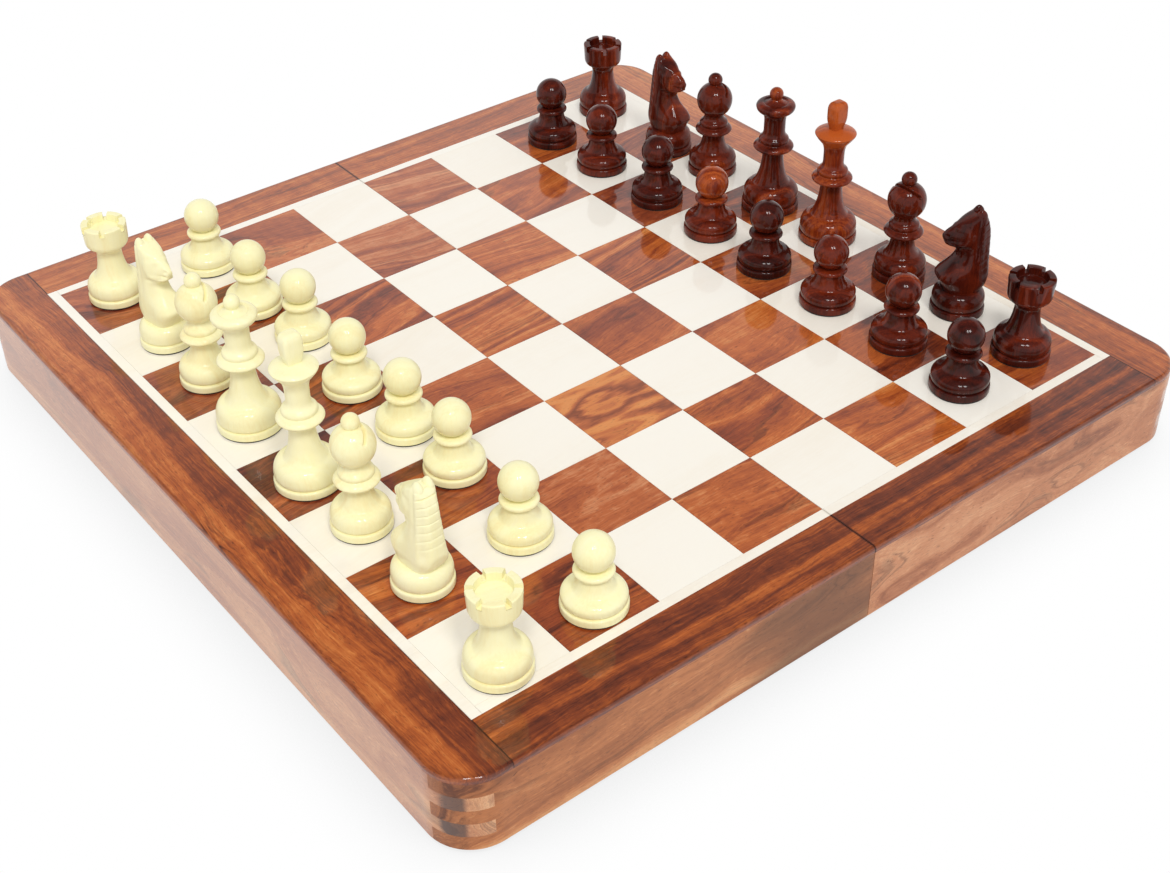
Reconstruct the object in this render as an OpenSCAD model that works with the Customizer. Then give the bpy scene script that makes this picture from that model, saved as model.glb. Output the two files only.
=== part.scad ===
// Folding chess box, opened flat with its 32 turned men set up to play.
// Millimetres. +Z is up, the fold runs along Y at x = 0, the white half is at -X and the
// black half at +X. z = 0 is the lowest point: the underside of the hinge barrels.

/* [Playing field] */
// Side of one square
square = 32.5; // [28:0.5:38]
// Joint between two squares and between two strips of a frame
square_joint = 0.1; // [0.06:0.02:0.2]
// Width of the pale inlaid line around the squares
inlay_w = 3.5; // [2:0.5:6]
// Width of the dark border strips
border_w = 19; // [17:0.5:26]
// Thickness of the squares, the inlaid line and the border strips
top_t = 2.2; // [1.6:0.1:3]

/* [Box] */
// Height of one half, from its rim to the playing surface
half_h = 28; // [24:0.5:36]
// Thickness of the walls
wall_t = 12.5; // [10:0.5:15]
// Radius of the upright outer corners
corner_r = 15; // [8:1:16]
// Radius along the top outer edge of the border
edge_r = 1.2; // [0.6:0.1:1.6]
// Fingers in each corner joint, an odd number
fingers = 5; // [3:2:7]
// Thickness of the plywood panel under the squares
panel_t = 3; // [2.4:0.2:4]
// Depth of the rebate that holds the panel in the walls
rebate = 6; // [3:0.5:8]
// Thickness of the felt lining
lining_t = 0.8; // [0.5:0.1:1.5]
// Gap between the two halves at the fold, lying open
seam_gap = 0.2; // [0.1:0.05:0.4]
// Gap between the two rims, folded shut
closed_gap = 0.2; // [0.1:0.05:0.4]

/* [Closure magnets] */
// Diameter of a closure magnet
magnet_d = 8; // [5:0.5:9]
// Thickness of a closure magnet
magnet_t = 2.5; // [1.5:0.5:4]
// Distance of each closure magnet from the middle of the end wall
magnet_y = 60; // [30:5:100]

/* [Hinges] */
// Distance of each hinge from the middle of the fold
hinge_y = 85; // [50:5:110]
// Length of a hinge along the fold
leaf_len = 30; // [24:1:40]
// Width of one leaf from the fold
leaf_w = 10; // [9:0.5:11]
// Thickness of a leaf
leaf_t = 0.8; // [0.6:0.1:1]
// Outer diameter of the hinge barrel
barrel_d = 2.2; // [2:0.1:2.6]
// Diameter of the hinge pin
pin_d = 1; // [0.8:0.1:1.2]
// Knuckles along one barrel, an odd number
knuckles = 5; // [3:2:7]
// Gap between neighbouring knuckles
knuckle_gap = 0.1; // [0.06:0.02:0.3]
// Radial running clearance of the pin in the turning knuckles
pin_clear = 0.04; // [0.02:0.01:0.08]
// Space left around the barrel in the wood and in the other leaf
barrel_clear = 0.2; // [0.15:0.05:0.4]
// Diameter of a hinge screw's head
screw_head_d = 3.4; // [2.8:0.1:3.8]
// Diameter of a hinge screw's shank
screw_d = 1.8; // [1.4:0.1:2]
// Length of a hinge screw
screw_len = 9; // [6:1:11]
// Distance between the two screws of a leaf
screw_pitch = 19; // [14:1:21]

/* [Felt under the men] */
// Thickness of the felt under each man
felt_t = 0.6; // [0.4:0.1:1]
// How far the felt stays inside the foot
felt_inset = 0.3; // [0.2:0.1:0.8]

/* [Pawn] */
// Overall height of a pawn
pawn_h = 27.1; // [25:0.5:31]
// Diameter of the foot
pawn_foot_d = 20.3; // [18:0.5:23]
// Height of the shoulder above the foot
pawn_shoulder_z = 8; // [7:0.5:9]
// Diameter of the shoulder
pawn_shoulder_d = 13.2; // [11:0.5:14]
// Diameter of the thin neck
pawn_neck_d = 9.6; // [8:0.5:10.5]
// Diameter of the collar
pawn_collar_d = 12.3; // [11.5:0.5:14]
// Diameter of the round head
pawn_head_d = 12.4; // [11:0.5:13.5]

/* [Rook] */
// Overall height of a rook
rook_h = 30.7; // [29:0.5:36]
// Diameter of the foot
rook_foot_d = 20.3; // [18:0.5:23]
// Height of the shoulder above the foot
rook_shoulder_z = 9.6; // [8:0.5:11]
// Diameter of the shoulder
rook_shoulder_d = 14; // [12:0.5:15]
// Diameter of the thin neck
rook_neck_d = 8.8; // [7.5:0.5:10]
// Diameter of the tower
rook_tower_d = 15.8; // [14:0.5:17.5]
// Height of the tower
rook_tower_h = 9.2; // [8:0.5:10.5]
// Wall thickness of the tower at its rim
rook_rim = 2.4; // [1.8:0.2:3]
// Depth of the hollow in the tower
rook_cup = 2.8; // [2:0.2:3.6]
// Width of a notch in the battlement
rook_notch = 1.6; // [1:0.2:2.4]
// Notches in the battlement
rook_notches = 6; // [4:1:8]

/* [Knight] */
// Overall height of a knight
knight_h = 41.4; // [38:0.2:46]
// Diameter of the foot
knight_foot_d = 19.2; // [18.5:0.5:23]
// Height of the shoulder above the foot
knight_shoulder_z = 9.6; // [8:0.5:11]
// Diameter of the shoulder
knight_shoulder_d = 13.4; // [12:0.5:15]
// Thickness of the carved horse at the chest
knight_w = 11.6; // [9:0.5:13]
// Thickness across the knight's nose
knight_nose_w = 5; // [4:0.5:7]
// Split between the knight's ears
knight_ear_gap = 1.8; // [1:0.2:2.4]
// Width of each cut between two locks of the knight's mane
knight_mane_cut = 0.5; // [0.4:0.1:0.9]

/* [Bishop] */
// Overall height of a bishop
bishop_h = 42; // [40:0.5:47]
// Diameter of the foot
bishop_foot_d = 19.4; // [18:0.5:23]
// Height of the shoulder above the foot
bishop_shoulder_z = 9.3; // [8:0.5:11]
// Diameter of the shoulder
bishop_shoulder_d = 13; // [11:0.5:14]
// Diameter of the thin neck
bishop_neck_d = 8.2; // [7:0.5:9]
// Height of the collar's lower edge
bishop_collar_z = 17; // [15.5:0.5:18.5]
// Diameter of the collar
bishop_collar_d = 14.4; // [12.5:0.5:16]
// Diameter of the mitre
bishop_head_d = 13.8; // [12:0.2:15]
// Diameter of the knob on top
bishop_knob_d = 5.6; // [5:0.2:7]
// Width of the slanting cut in the mitre
bishop_cut = 1; // [0.6:0.2:1.6]

/* [Queen] */
// Overall height of a queen
queen_h = 49.9; // [48:0.5:55]
// Diameter of the foot
queen_foot_d = 22; // [20:0.5:24]
// Height of the shoulder above the foot
queen_shoulder_z = 10.6; // [9:0.5:12]
// Diameter of the shoulder
queen_shoulder_d = 14.6; // [13:0.5:16]
// Diameter of the thin neck
queen_neck_d = 7.8; // [7:0.5:9]
// Height of the collar's lower edge
queen_collar_z = 24.4; // [22:0.5:26]
// Diameter of the collar
queen_collar_d = 15.4; // [14:0.5:17]
// Diameter of the crown
queen_crown_d = 14.8; // [13:0.5:16]
// Diameter of the ball on top
queen_ball_d = 5.2; // [4.5:0.5:6.5]

/* [King] */
// Overall height of a king
king_h = 56; // [53.5:0.5:62]
// Diameter of the foot
king_foot_d = 21.8; // [20:0.5:24]
// Height of the shoulder above the foot
king_shoulder_z = 10.4; // [9:0.5:12]
// Diameter of the shoulder
king_shoulder_d = 14.4; // [13:0.5:16]
// Diameter of the thin neck
king_neck_d = 8; // [7:0.5:9]
// Height of the collar's lower edge
king_collar_z = 23.9; // [22:0.5:26]
// Diameter of the collar
king_collar_d = 15.2; // [14:0.5:17]
// Diameter of the crown
king_crown_d = 15.2; // [13:0.5:16.5]
// Height of the plain block on top
king_block_h = 10.6; // [8:0.5:12]
// Width of the plain block on top
king_block_w = 6.6; // [5:0.5:7.5]

/* [Hidden] */
$fn = 64;
// Smallest overlap that joins two shapes of one piece
eps = 0.01;
// Cuts run this far past a face
past = 1;

// Playing field and box outline
field = 8*square;
field_half = field/2;
inlay_half = field_half + inlay_w;
board_half = inlay_half + border_w;
seam_x = seam_gap/2;

// Heights: the barrels stand proud of the rims by their radius and half the closed gap
axis_z = barrel_d/2;
rim_z = axis_z + closed_gap/2;
top_z = rim_z + half_h;
wall_top_z = top_z - top_t;
panel_z = wall_top_z - panel_t;
lining_z = panel_z - lining_t;
finger_h = (wall_top_z - rim_z)/fingers;
inner_half = board_half - wall_t;
hinge_wall_in = seam_x + wall_t;

// Hinge parts
barrel_r = barrel_d/2;
knuckle_len = (leaf_len - (knuckles - 1)*knuckle_gap)/knuckles;
knuckle_step = knuckle_len + knuckle_gap;
screw_x = (leaf_w + barrel_r)/2;
screw_slot_w = 0.4;
screw_slot_d = 0.3;
pin_proud = 0.2;

// Colours
dark_wood = [0.45, 0.2, 0.12];
pale_wood = [0.93, 0.87, 0.72];
border_wood = [0.6, 0.33, 0.19];
wall_wood = [0.74, 0.5, 0.32];
ply = [0.8, 0.68, 0.5];
felt_green = [0.1, 0.25, 0.16];
felt_black = [0.06, 0.06, 0.06];
brass = [0.8, 0.63, 0.3];
steel = [0.7, 0.7, 0.72];
white_men = [0.95, 0.87, 0.6];
black_men = [0.27, 0.09, 0.06];

// ---------------------------------------------------------------- curves in a profile
// A profile is a list of [radius, height]. arc() is part of an ellipse about [r, z] from
// angle a0 to a1, bow() a curve from p to q that leaves and arrives towards c.
function arc(r, z, rr, rz, a0, a1, n = 10) =
    [for (i = [0:n]) let(a = a0 + (a1 - a0)*i/n) [r + rr*cos(a), z + rz*sin(a)]];
function bow(p, c, q, n = 9) =
    [for (i = [0:n]) let(t = i/n) (1 - t)*(1 - t)*p + 2*t*(1 - t)*c + t*t*q];
// Drops a point that repeats the one before it
function distinct(p) =
    [for (i = [0:len(p) - 1]) if (i == 0 || norm(p[i] - p[max(i - 1, 0)]) > 0.02) p[i]];

// Foot that all the men share: a straight ring, a groove and a swelling up to the shoulder
ring_h = 2.6;
ring_round = 0.9;
groove = 0.2;
swell_in = 0.3;
function foot(r, shoulder_r, shoulder_z) =
    let(ring_top = felt_t + ring_h, swell_r = r - swell_in, swell_z = ring_top + ring_h*0.8)
    concat(
        [[0, felt_t], [r, felt_t]],
        bow([r, ring_top - ring_round], [r, ring_top], [r - ring_round, ring_top], 5),
        bow([r - ring_round - groove, ring_top + groove], [swell_r, ring_top + groove],
            [swell_r, swell_z], 5),
        bow([swell_r, swell_z], [swell_r, shoulder_z - swell_in*3], [shoulder_r, shoulder_z])
    );
// Hollow flare from the shoulder up to the neck; its first step is a small bead
bead = 0.35;
function flare(shoulder_r, shoulder_z, neck_r, neck_z) =
    bow([shoulder_r - bead, shoulder_z + bead],
        [neck_r + bead, shoulder_z + bead + (neck_z - shoulder_z)*0.27], [neck_r, neck_z], 12);
// Double collar of the bishop, queen and king: a wide ring below a narrower one
function collar(r, z, neck_r, top_r) =
    let(narrow = (r + neck_r)/2)
    concat(
        bow([neck_r + bead, z], [r - bead/2, z + bead], [r, z + r*0.22], 6),
        bow([r, z + r*0.22], [r - bead, z + r*0.36], [narrow, z + r*0.42], 5),
        bow([narrow - bead, z + r*0.46], [narrow + bead, z + r*0.62],
            [narrow - bead*2, z + r*0.74], 5),
        bow([narrow - bead*2, z + r*0.74], [top_r, z + r*0.84], [top_r, z + r*1.1], 6)
    );

module turned(profile) {
    rotate_extrude()
        polygon(distinct(profile));
}

module felt(foot_d) {
    color(felt_black)
        cylinder(r = foot_d/2 - felt_inset, h = felt_t);
}

// ---------------------------------------------------------------- the men, at the origin
module pawn(wood) {
    head_r = pawn_head_d/2;
    head_z = pawn_h - head_r;
    collar_r = pawn_collar_d/2;
    collar_h = 2;
    collar_z = head_z - head_r*0.87 - collar_h*0.6;
    collar_round = 1.15;
    color(wood)
        turned(concat(
            foot(pawn_foot_d/2, pawn_shoulder_d/2, pawn_shoulder_z),
            flare(pawn_shoulder_d/2, pawn_shoulder_z, pawn_neck_d/2, collar_z - collar_h/2),
            arc(collar_r - collar_round, collar_z, collar_round, collar_h/2, -90, 90),
            arc(0, head_z, head_r, head_r, -60, 90, 20)
        ));
    felt(pawn_foot_d);
}

module rook(wood) {
    tower_r = rook_tower_d/2;
    tower_z = rook_h - rook_tower_h;
    neck_r = rook_neck_d/2;
    inner_r = tower_r - rook_rim;
    floor_z = rook_h - rook_cup;
    lip = 0.3;
    color(wood)
        difference() {
            turned(concat(
                foot(rook_foot_d/2, rook_shoulder_d/2, rook_shoulder_z),
                flare(rook_shoulder_d/2, rook_shoulder_z, neck_r, tower_z - 3),
                bow([neck_r, tower_z - 3], [neck_r, tower_z - 0.5], [tower_r - 1.6, tower_z + 0.4], 6),
                bow([tower_r - 1.6, tower_z + 0.4], [tower_r - lip, tower_z + 1],
                    [tower_r - lip, tower_z + 3], 6),
                [[tower_r, rook_h - lip], [tower_r - lip, rook_h], [inner_r, rook_h]],
                [[inner_r - lip, floor_z], [0, floor_z]]
            ));
            for (i = [0:rook_notches - 1])
                rotate([0, 0, 360*i/rook_notches])
                    translate([inner_r/2, -rook_notch/2, rook_h - rook_cup*0.75])
                        cube([tower_r, rook_notch, rook_cup]);
        }
    felt(rook_foot_d);
}

module bishop(wood, facing = 0) {
    neck_r = bishop_neck_d/2;
    collar_r = bishop_collar_d/2;
    head_r = bishop_head_d/2;
    knob_r = bishop_knob_d/2;
    knob_z = bishop_h - knob_r;
    knob_from = 38;
    head_z = bishop_collar_z + collar_r*1.1;
    head_h = knob_z - knob_r*sin(knob_from) - head_z;
    head_foot_r = neck_r - bead;
    cut_tilt = 50;
    color(wood)
        rotate([0, 0, facing]) difference() {
            turned(concat(
                foot(bishop_foot_d/2, bishop_shoulder_d/2, bishop_shoulder_z),
                flare(bishop_shoulder_d/2, bishop_shoulder_z, neck_r, bishop_collar_z - bead),
                collar(collar_r, bishop_collar_z, neck_r, head_foot_r),
                bow([head_foot_r, head_z], [head_r + bead, head_z + head_h*0.2],
                    [head_r, head_z + head_h*0.55], 8),
                bow([head_r, head_z + head_h*0.55], [head_r - 0.6, head_z + head_h*0.88],
                    [knob_r*cos(knob_from), head_z + head_h], 8),
                arc(0, knob_z, knob_r, knob_r, -knob_from, 90)
            ));
            // the cut comes in from the side of the mitre and slants down to its middle
            translate([head_r*0.15, 0, head_z + head_h*0.79])
                rotate([0, -cut_tilt, 0])
                    translate([0, -head_r - past, -bishop_cut/2])
                        cube([head_r*2, 2*(head_r + past), bishop_cut]);
        }
    felt(bishop_foot_d);
}

module queen(wood) {
    neck_r = queen_neck_d/2;
    collar_r = queen_collar_d/2;
    crown_r = queen_crown_d/2;
    ball_r = queen_ball_d/2;
    ball_z = queen_h - ball_r;
    ball_from = 41;
    waist_z = queen_collar_z + collar_r*1.1;
    waist_r = neck_r + bead/2;
    crown_top = ball_z - ball_r - 0.2;
    crown_h = crown_top - waist_z;
    color(wood)
        turned(concat(
            foot(queen_foot_d/2, queen_shoulder_d/2, queen_shoulder_z),
            flare(queen_shoulder_d/2, queen_shoulder_z, neck_r, queen_collar_z - bead),
            collar(collar_r, queen_collar_z, neck_r, waist_r),
            bow([waist_r, waist_z + crown_h*0.3], [waist_r, waist_z + crown_h*0.62],
                [crown_r - 1.2, waist_z + crown_h*0.66], 7),
            bow([crown_r - 1.2, waist_z + crown_h*0.66], [crown_r, waist_z + crown_h*0.72],
                [crown_r, waist_z + crown_h*0.85], 5),
            bow([crown_r, waist_z + crown_h*0.85], [crown_r - bead, crown_top - bead],
                [crown_r - 2.6, crown_top - bead], 5),
            bow([crown_r - 2.9, crown_top - bead*2], [ball_r + bead, crown_top - bead],
                [ball_r*cos(ball_from), ball_z - ball_r*sin(ball_from)], 5),
            arc(0, ball_z, ball_r, ball_r, -ball_from, 90)
        ));
    felt(queen_foot_d);
}

// Width of the king's block over its height, as shares of its full width and height
function block_outline(w, h) =
    concat(
        [[-w*0.36, 0], [w*0.36, 0], [w*0.38, h*0.12]],
        bow([w*0.38, h*0.12], [w*0.5, h*0.3], [w*0.5, h*0.5], 4),
        bow([w*0.5, h*0.76], [w*0.47, h], [w*0.2, h], 4),
        bow([-w*0.2, h], [-w*0.47, h], [-w*0.5, h*0.76], 4),
        bow([-w*0.5, h*0.5], [-w*0.5, h*0.3], [-w*0.38, h*0.12], 4)
    );

module king(wood) {
    neck_r = king_neck_d/2;
    collar_r = king_collar_d/2;
    crown_r = king_crown_d/2;
    waist_z = king_collar_z + collar_r*1.1;
    waist_r = neck_r - bead/2;
    block_z = king_h - king_block_h;
    crown_h = block_z - waist_z;
    block_d = king_block_w*0.8;
    color(wood)
        union() {
            turned(concat(
                foot(king_foot_d/2, king_shoulder_d/2, king_shoulder_z),
                flare(king_shoulder_d/2, king_shoulder_z, neck_r, king_collar_z - bead),
                collar(collar_r, king_collar_z, neck_r, waist_r),
                bow([waist_r, waist_z + crown_h*0.25], [waist_r, waist_z + crown_h*0.45],
                    [waist_r + 1.1, waist_z + crown_h*0.58], 6),
                bow([waist_r + 1.1, waist_z + crown_h*0.58], [crown_r - bead, waist_z + crown_h*0.78],
                    [crown_r, waist_z + crown_h*0.86], 6),
                bow([crown_r, waist_z + crown_h*0.86], [crown_r - bead*2, block_z - bead],
                    [0, block_z + bead], 8)
            ));
            translate([0, 0, block_z - bead])
                intersection() {
                    rotate([90, 0, 0])
                        linear_extrude(height = king_block_w, center = true)
                            polygon(distinct(block_outline(king_block_w, king_block_h + bead)));
                    rotate([90, 0, 90])
                        linear_extrude(height = king_block_w, center = true)
                            polygon(distinct(block_outline(block_d, king_block_h + bead)));
                }
        }
    felt(king_foot_d);
}

// The horse faces +X. Its outline is in shares of the height from shoulder to ear tip,
// first along the chest, throat and muzzle, then over the ears and down the mane.
horse_outline = [
    [0.195, 0], [0.23, 0.07], [0.29, 0.16], [0.295, 0.195], [0.22, 0.285], [0.16, 0.35],
    [0.1, 0.425], [0.082, 0.47], [0.122, 0.522], [0.16, 0.553], [0.2, 0.565], [0.24, 0.582],
    [0.27, 0.645], [0.277, 0.7], [0.226, 0.755], [0.182, 0.795], [0.12, 0.85], [0.057, 0.887],
    [-0.012, 0.92], [-0.065, 0.935], [-0.12, 1], [-0.157, 0.965], [-0.176, 0.918],
    [-0.207, 0.855], [-0.245, 0.735], [-0.258, 0.648], [-0.264, 0.52], [-0.273, 0.355],
    [-0.289, 0.19], [-0.261, 0.066], [-0.204, 0]
];
// Half its thickness up the same height, in shares of the full thickness
horse_front = [
    [0.47, 0], [0.49, 0.14], [0.42, 0.33], [0.36, 0.485], [0.35, 0.67], [0.335, 0.83],
    [0.31, 0.92], [0.24, 1]
];

module knight(wood, facing) {
    body_h = knight_h - knight_shoulder_z;
    mirrored_front = [for (i = [len(horse_front) - 1:-1:0]) horse_front[i]];
    mane_locks = 7;
    jaw_z = body_h*0.5;
    nose_x = body_h*0.3;
    color(wood)
        rotate([0, 0, facing])
            union() {
                turned(concat(
                    foot(knight_foot_d/2, knight_shoulder_d/2, knight_shoulder_z),
                    [[0, knight_shoulder_z]]
                ));
                translate([0, 0, knight_shoulder_z - eps])
                    difference() {
                        intersection() {
                            rotate([90, 0, 0])
                                linear_extrude(height = knight_w, center = true)
                                    polygon([for (p = horse_outline) p*body_h]);
                            rotate([90, 0, 90])
                                linear_extrude(height = body_h, center = true)
                                    polygon(concat(
                                        [for (p = horse_front) [p[0]*knight_w, p[1]*body_h]],
                                        [for (p = mirrored_front) [-p[0]*knight_w, p[1]*body_h]]
                                    ));
                        }
                        // split between the ears
                        translate([-body_h/2, -knight_ear_gap/2, body_h*0.945])
                            cube([body_h, knight_ear_gap, body_h]);
                        // the face narrows from the cheeks to the nose
                        for (side = [-1, 1])
                            translate([0, 0, jaw_z])
                                linear_extrude(height = body_h)
                                    polygon([
                                        [0, side*knight_w*0.36], [nose_x, side*knight_nose_w/2],
                                        [nose_x, side*knight_w], [0, side*knight_w]
                                    ]);
                        // locks of the mane, cut across the back of the neck
                        for (i = [0:mane_locks - 1])
                            translate([-body_h*0.2, 0, body_h*(0.33 + 0.091*i)])
                                rotate([0, 22, 0])
                                    translate([-body_h*0.2, -knight_w, 0])
                                        cube([body_h*0.15, 2*knight_w, knight_mane_cut]);
                    }
            }
    felt(knight_foot_d);
}

// ---------------------------------------------------------------- where the men stand
// Files a to h run from +Y to -Y, ranks 1 to 8 from -X to +X. off is how far from the
// middle of its square the man was set down by hand.
module on_square(file, rank, off = [0, 0]) {
    translate([(rank - 4.5)*square + off[0], (4.5 - file)*square + off[1], top_z])
        children();
}

// ---------------------------------------------------------------- the box
// Rounded square outline of the whole open board, drawn in by inset
module board_outline(inset = 0) {
    half = board_half - inset;
    r = corner_r - inset;
    square([2*(half - r), 2*half], center = true);
    square([2*half, 2*(half - r)], center = true);
    for (x = [-1, 1], y = [-1, 1])
        translate([x*(half - r), y*(half - r)])
            circle(r = r);
}

// A block of the base half, between two distances from the fold and two values of y
module base_block(x_far, x_near, y0, y1, z0, z1) {
    translate([-x_far, y0, z0])
        cube([x_far - x_near, y1 - y0, z1 - z0]);
}

// Half the board as a solid with the hollow and the panel's rebate taken out of it
module wall_blank() {
    difference() {
        intersection() {
            translate([0, 0, rim_z])
                linear_extrude(height = wall_top_z - rim_z)
                    board_outline();
            base_block(board_half + past, seam_x, -board_half - past, board_half + past, 0, top_z);
        }
        base_block(inner_half, hinge_wall_in, -inner_half, inner_half, 0, top_z);
        base_block(inner_half + rebate, hinge_wall_in - rebate, -inner_half - rebate,
            inner_half + rebate, panel_z, top_z);
    }
}

// The corner fingers that belong to the end wall (odd) or to a side wall (even)
module finger_slices(first, side) {
    y0 = side > 0 ? inner_half : -board_half - past;
    y1 = side > 0 ? board_half + past : -inner_half;
    for (i = [first:2:fingers - 1])
        base_block(board_half + past, inner_half, y0, y1, rim_z + i*finger_h, rim_z + (i + 1)*finger_h);
}

module end_wall() {
    color(wall_wood)
        difference() {
            intersection() {
                wall_blank();
                union() {
                    base_block(board_half + past, inner_half, -inner_half, inner_half, 0, top_z);
                    finger_slices(1, 1);
                    finger_slices(1, -1);
                }
            }
            for (y = [-magnet_y, magnet_y])
                translate([-inner_half - wall_t/2, y, rim_z - past])
                    cylinder(r = magnet_d/2, h = magnet_t + past);
        }
}

module side_wall(side) {
    y0 = side > 0 ? inner_half : -board_half - past;
    y1 = side > 0 ? board_half + past : -inner_half;
    color(wall_wood)
        intersection() {
            wall_blank();
            union() {
                base_block(inner_half, seam_x, y0, y1, 0, top_z);
                finger_slices(0, side);
            }
        }
}

// Room in the wood for one barrel
module barrel_room(y) {
    room_len = leaf_len + 2*pin_proud + 2*barrel_clear;
    translate([0, y, axis_z])
        rotate([90, 0, 0])
            cylinder(r = barrel_r + barrel_clear, h = room_len, center = true);
}

module hinge_wall() {
    panel_x = hinge_wall_in - rebate;
    color(wall_wood)
        difference() {
            base_block(hinge_wall_in, seam_x, -inner_half, inner_half, rim_z, wall_top_z);
            base_block(hinge_wall_in + past, panel_x, -board_half, board_half, panel_z, top_z);
            for (y = [-hinge_y, hinge_y]) {
                barrel_room(y);
                base_block(leaf_w, 0, y - leaf_len/2, y + leaf_len/2, 0, rim_z + leaf_t);
                for (s = [-1, 1])
                    translate([-screw_x, y + s*screw_pitch/2, rim_z])
                        cylinder(r = screw_d/2, h = screw_len);
            }
        }
}

module panel() {
    color(ply)
        base_block(inner_half + rebate, hinge_wall_in - rebate, -inner_half - rebate,
            inner_half + rebate, panel_z, wall_top_z);
}

module lining() {
    color(felt_green)
        base_block(inner_half, hinge_wall_in, -inner_half, inner_half, lining_z, panel_z);
}

// The board's top layer with its outer edge rounded over, for the border to be cut from
module rounded_top() {
    edge_half = board_half - corner_r;
    translate([0, 0, wall_top_z]) {
        linear_extrude(height = top_t - edge_r)
            board_outline();
        linear_extrude(height = top_t)
            board_outline(edge_r);
        for (a = [0:90:270])
            rotate([0, 0, a]) {
                translate([board_half - edge_r, -edge_half, top_t - edge_r])
                    rotate([-90, 0, 0])
                        cylinder(r = edge_r, h = 2*edge_half);
                translate([edge_half, edge_half, top_t - edge_r])
                    rotate_extrude(angle = 90)
                        translate([corner_r - edge_r, 0])
                            circle(r = edge_r, $fn = 32);
            }
    }
}

// Three strips round the base half, from out to in and from x = -in to the fold: the end
// strip runs the full width, and the side strips butt against it
module strips(out, in) {
    side_x = in - square_joint;
    base_block(out, in, -out, out, wall_top_z, top_z);
    base_block(side_x, seam_x, in, out, wall_top_z, top_z);
    base_block(side_x, seam_x, -out, -in, wall_top_z, top_z);
}

module border() {
    color(border_wood)
        intersection() {
            rounded_top();
            strips(board_half + past, inlay_half);
        }
}

module inlay_line() {
    color(pale_wood)
        strips(inlay_half, field_half);
}

// Every second square of the base half. Turned over to the lid half the colours change
// places, so odd 1 gives the dark squares here and the light ones there.
module squares(odd) {
    side = square - square_joint;
    for (i = [0:3], j = [0:7])
        if ((i + j)%2 == odd) {
            x0 = (4 - i)*square - square_joint/2;
            y0 = (j - 4)*square + square_joint/2;
            base_block(x0, max(x0 - side, seam_x), y0, y0 + side, wall_top_z, top_z);
        }
}

module dark_squares(odd) {
    color(dark_wood)
        squares(odd);
}

module light_squares(odd) {
    color(pale_wood)
        squares(odd);
}

module closure_magnets() {
    color(steel)
        for (y = [-magnet_y, magnet_y])
            translate([-inner_half - wall_t/2, y, rim_z])
                cylinder(r = magnet_d/2, h = magnet_t);
}

// ---------------------------------------------------------------- hinges
// Leaves of the base half; first is 0 for the leaf with the end knuckles, 1 for the other
module leaves(first, bore_r) {
    for (y = [-hinge_y, hinge_y])
        translate([0, y, 0])
            difference() {
                union() {
                    base_block(leaf_w, 0, -leaf_len/2, leaf_len/2, rim_z, rim_z + leaf_t);
                    for (i = [first:2:knuckles - 1])
                        translate([0, i*knuckle_step - leaf_len/2, axis_z])
                            rotate([-90, 0, 0])
                                cylinder(r = barrel_r, h = knuckle_len);
                }
                for (i = [1 - first:2:knuckles - 1])
                    translate([0, i*knuckle_step - leaf_len/2 - knuckle_gap, axis_z])
                        rotate([-90, 0, 0])
                            cylinder(r = barrel_r + barrel_clear, h = knuckle_len + 2*knuckle_gap);
                translate([0, 0, axis_z])
                    rotate([90, 0, 0])
                        cylinder(r = bore_r, h = leaf_len + past, center = true);
                for (s = [-1, 1])
                    translate([-screw_x, s*screw_pitch/2, rim_z])
                        cylinder(r1 = screw_head_d/2, r2 = screw_d/2, h = leaf_t);
            }
}

module base_leaves() {
    color(brass)
        leaves(0, pin_d/2);
}

module lid_leaves() {
    color(brass)
        leaves(1, pin_d/2 + pin_clear);
}

module hinge_pins() {
    color(steel)
        for (y = [-hinge_y, hinge_y])
            translate([0, y, axis_z])
                rotate([90, 0, 0])
                    cylinder(r = pin_d/2, h = leaf_len + 2*pin_proud, center = true);
}

module hinge_screws() {
    color(brass)
        for (y = [-hinge_y, hinge_y], s = [-1, 1])
            translate([-screw_x, y + s*screw_pitch/2, rim_z])
                difference() {
                    union() {
                        cylinder(r1 = screw_head_d/2, r2 = screw_d/2, h = leaf_t);
                        cylinder(r = screw_d/2, h = screw_len);
                    }
                    translate([-screw_head_d, -screw_slot_w/2, -past])
                        cube([2*screw_head_d, screw_slot_w, screw_slot_d + past]);
                }
}

// The lid half is the base half turned over the fold
module on_lid() {
    mirror([1, 0, 0])
        children();
}

end_wall();  // base_end_wall
side_wall(-1);  // base_near_wall
side_wall(1);  // base_far_wall
hinge_wall();  // base_hinge_wall
panel();  // base_panel
border();  // base_border
inlay_line();  // base_inlay_line
dark_squares(1);  // base_dark_squares
light_squares(0);  // base_light_squares
lining();  // base_lining
closure_magnets();  // base_closure_magnets
base_leaves();  // base_hinge_leaves
hinge_screws();  // base_hinge_screws
hinge_pins();
on_lid() end_wall();  // lid_end_wall
on_lid() side_wall(-1);  // lid_near_wall
on_lid() side_wall(1);  // lid_far_wall
on_lid() hinge_wall();  // lid_hinge_wall
on_lid() panel();  // lid_panel
on_lid() border();  // lid_border
on_lid() inlay_line();  // lid_inlay_line
on_lid() dark_squares(0);  // lid_dark_squares
on_lid() light_squares(1);  // lid_light_squares
on_lid() lining();  // lid_lining
on_lid() closure_magnets();  // lid_closure_magnets
on_lid() lid_leaves();  // lid_hinge_leaves
on_lid() hinge_screws();  // lid_hinge_screws

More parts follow.
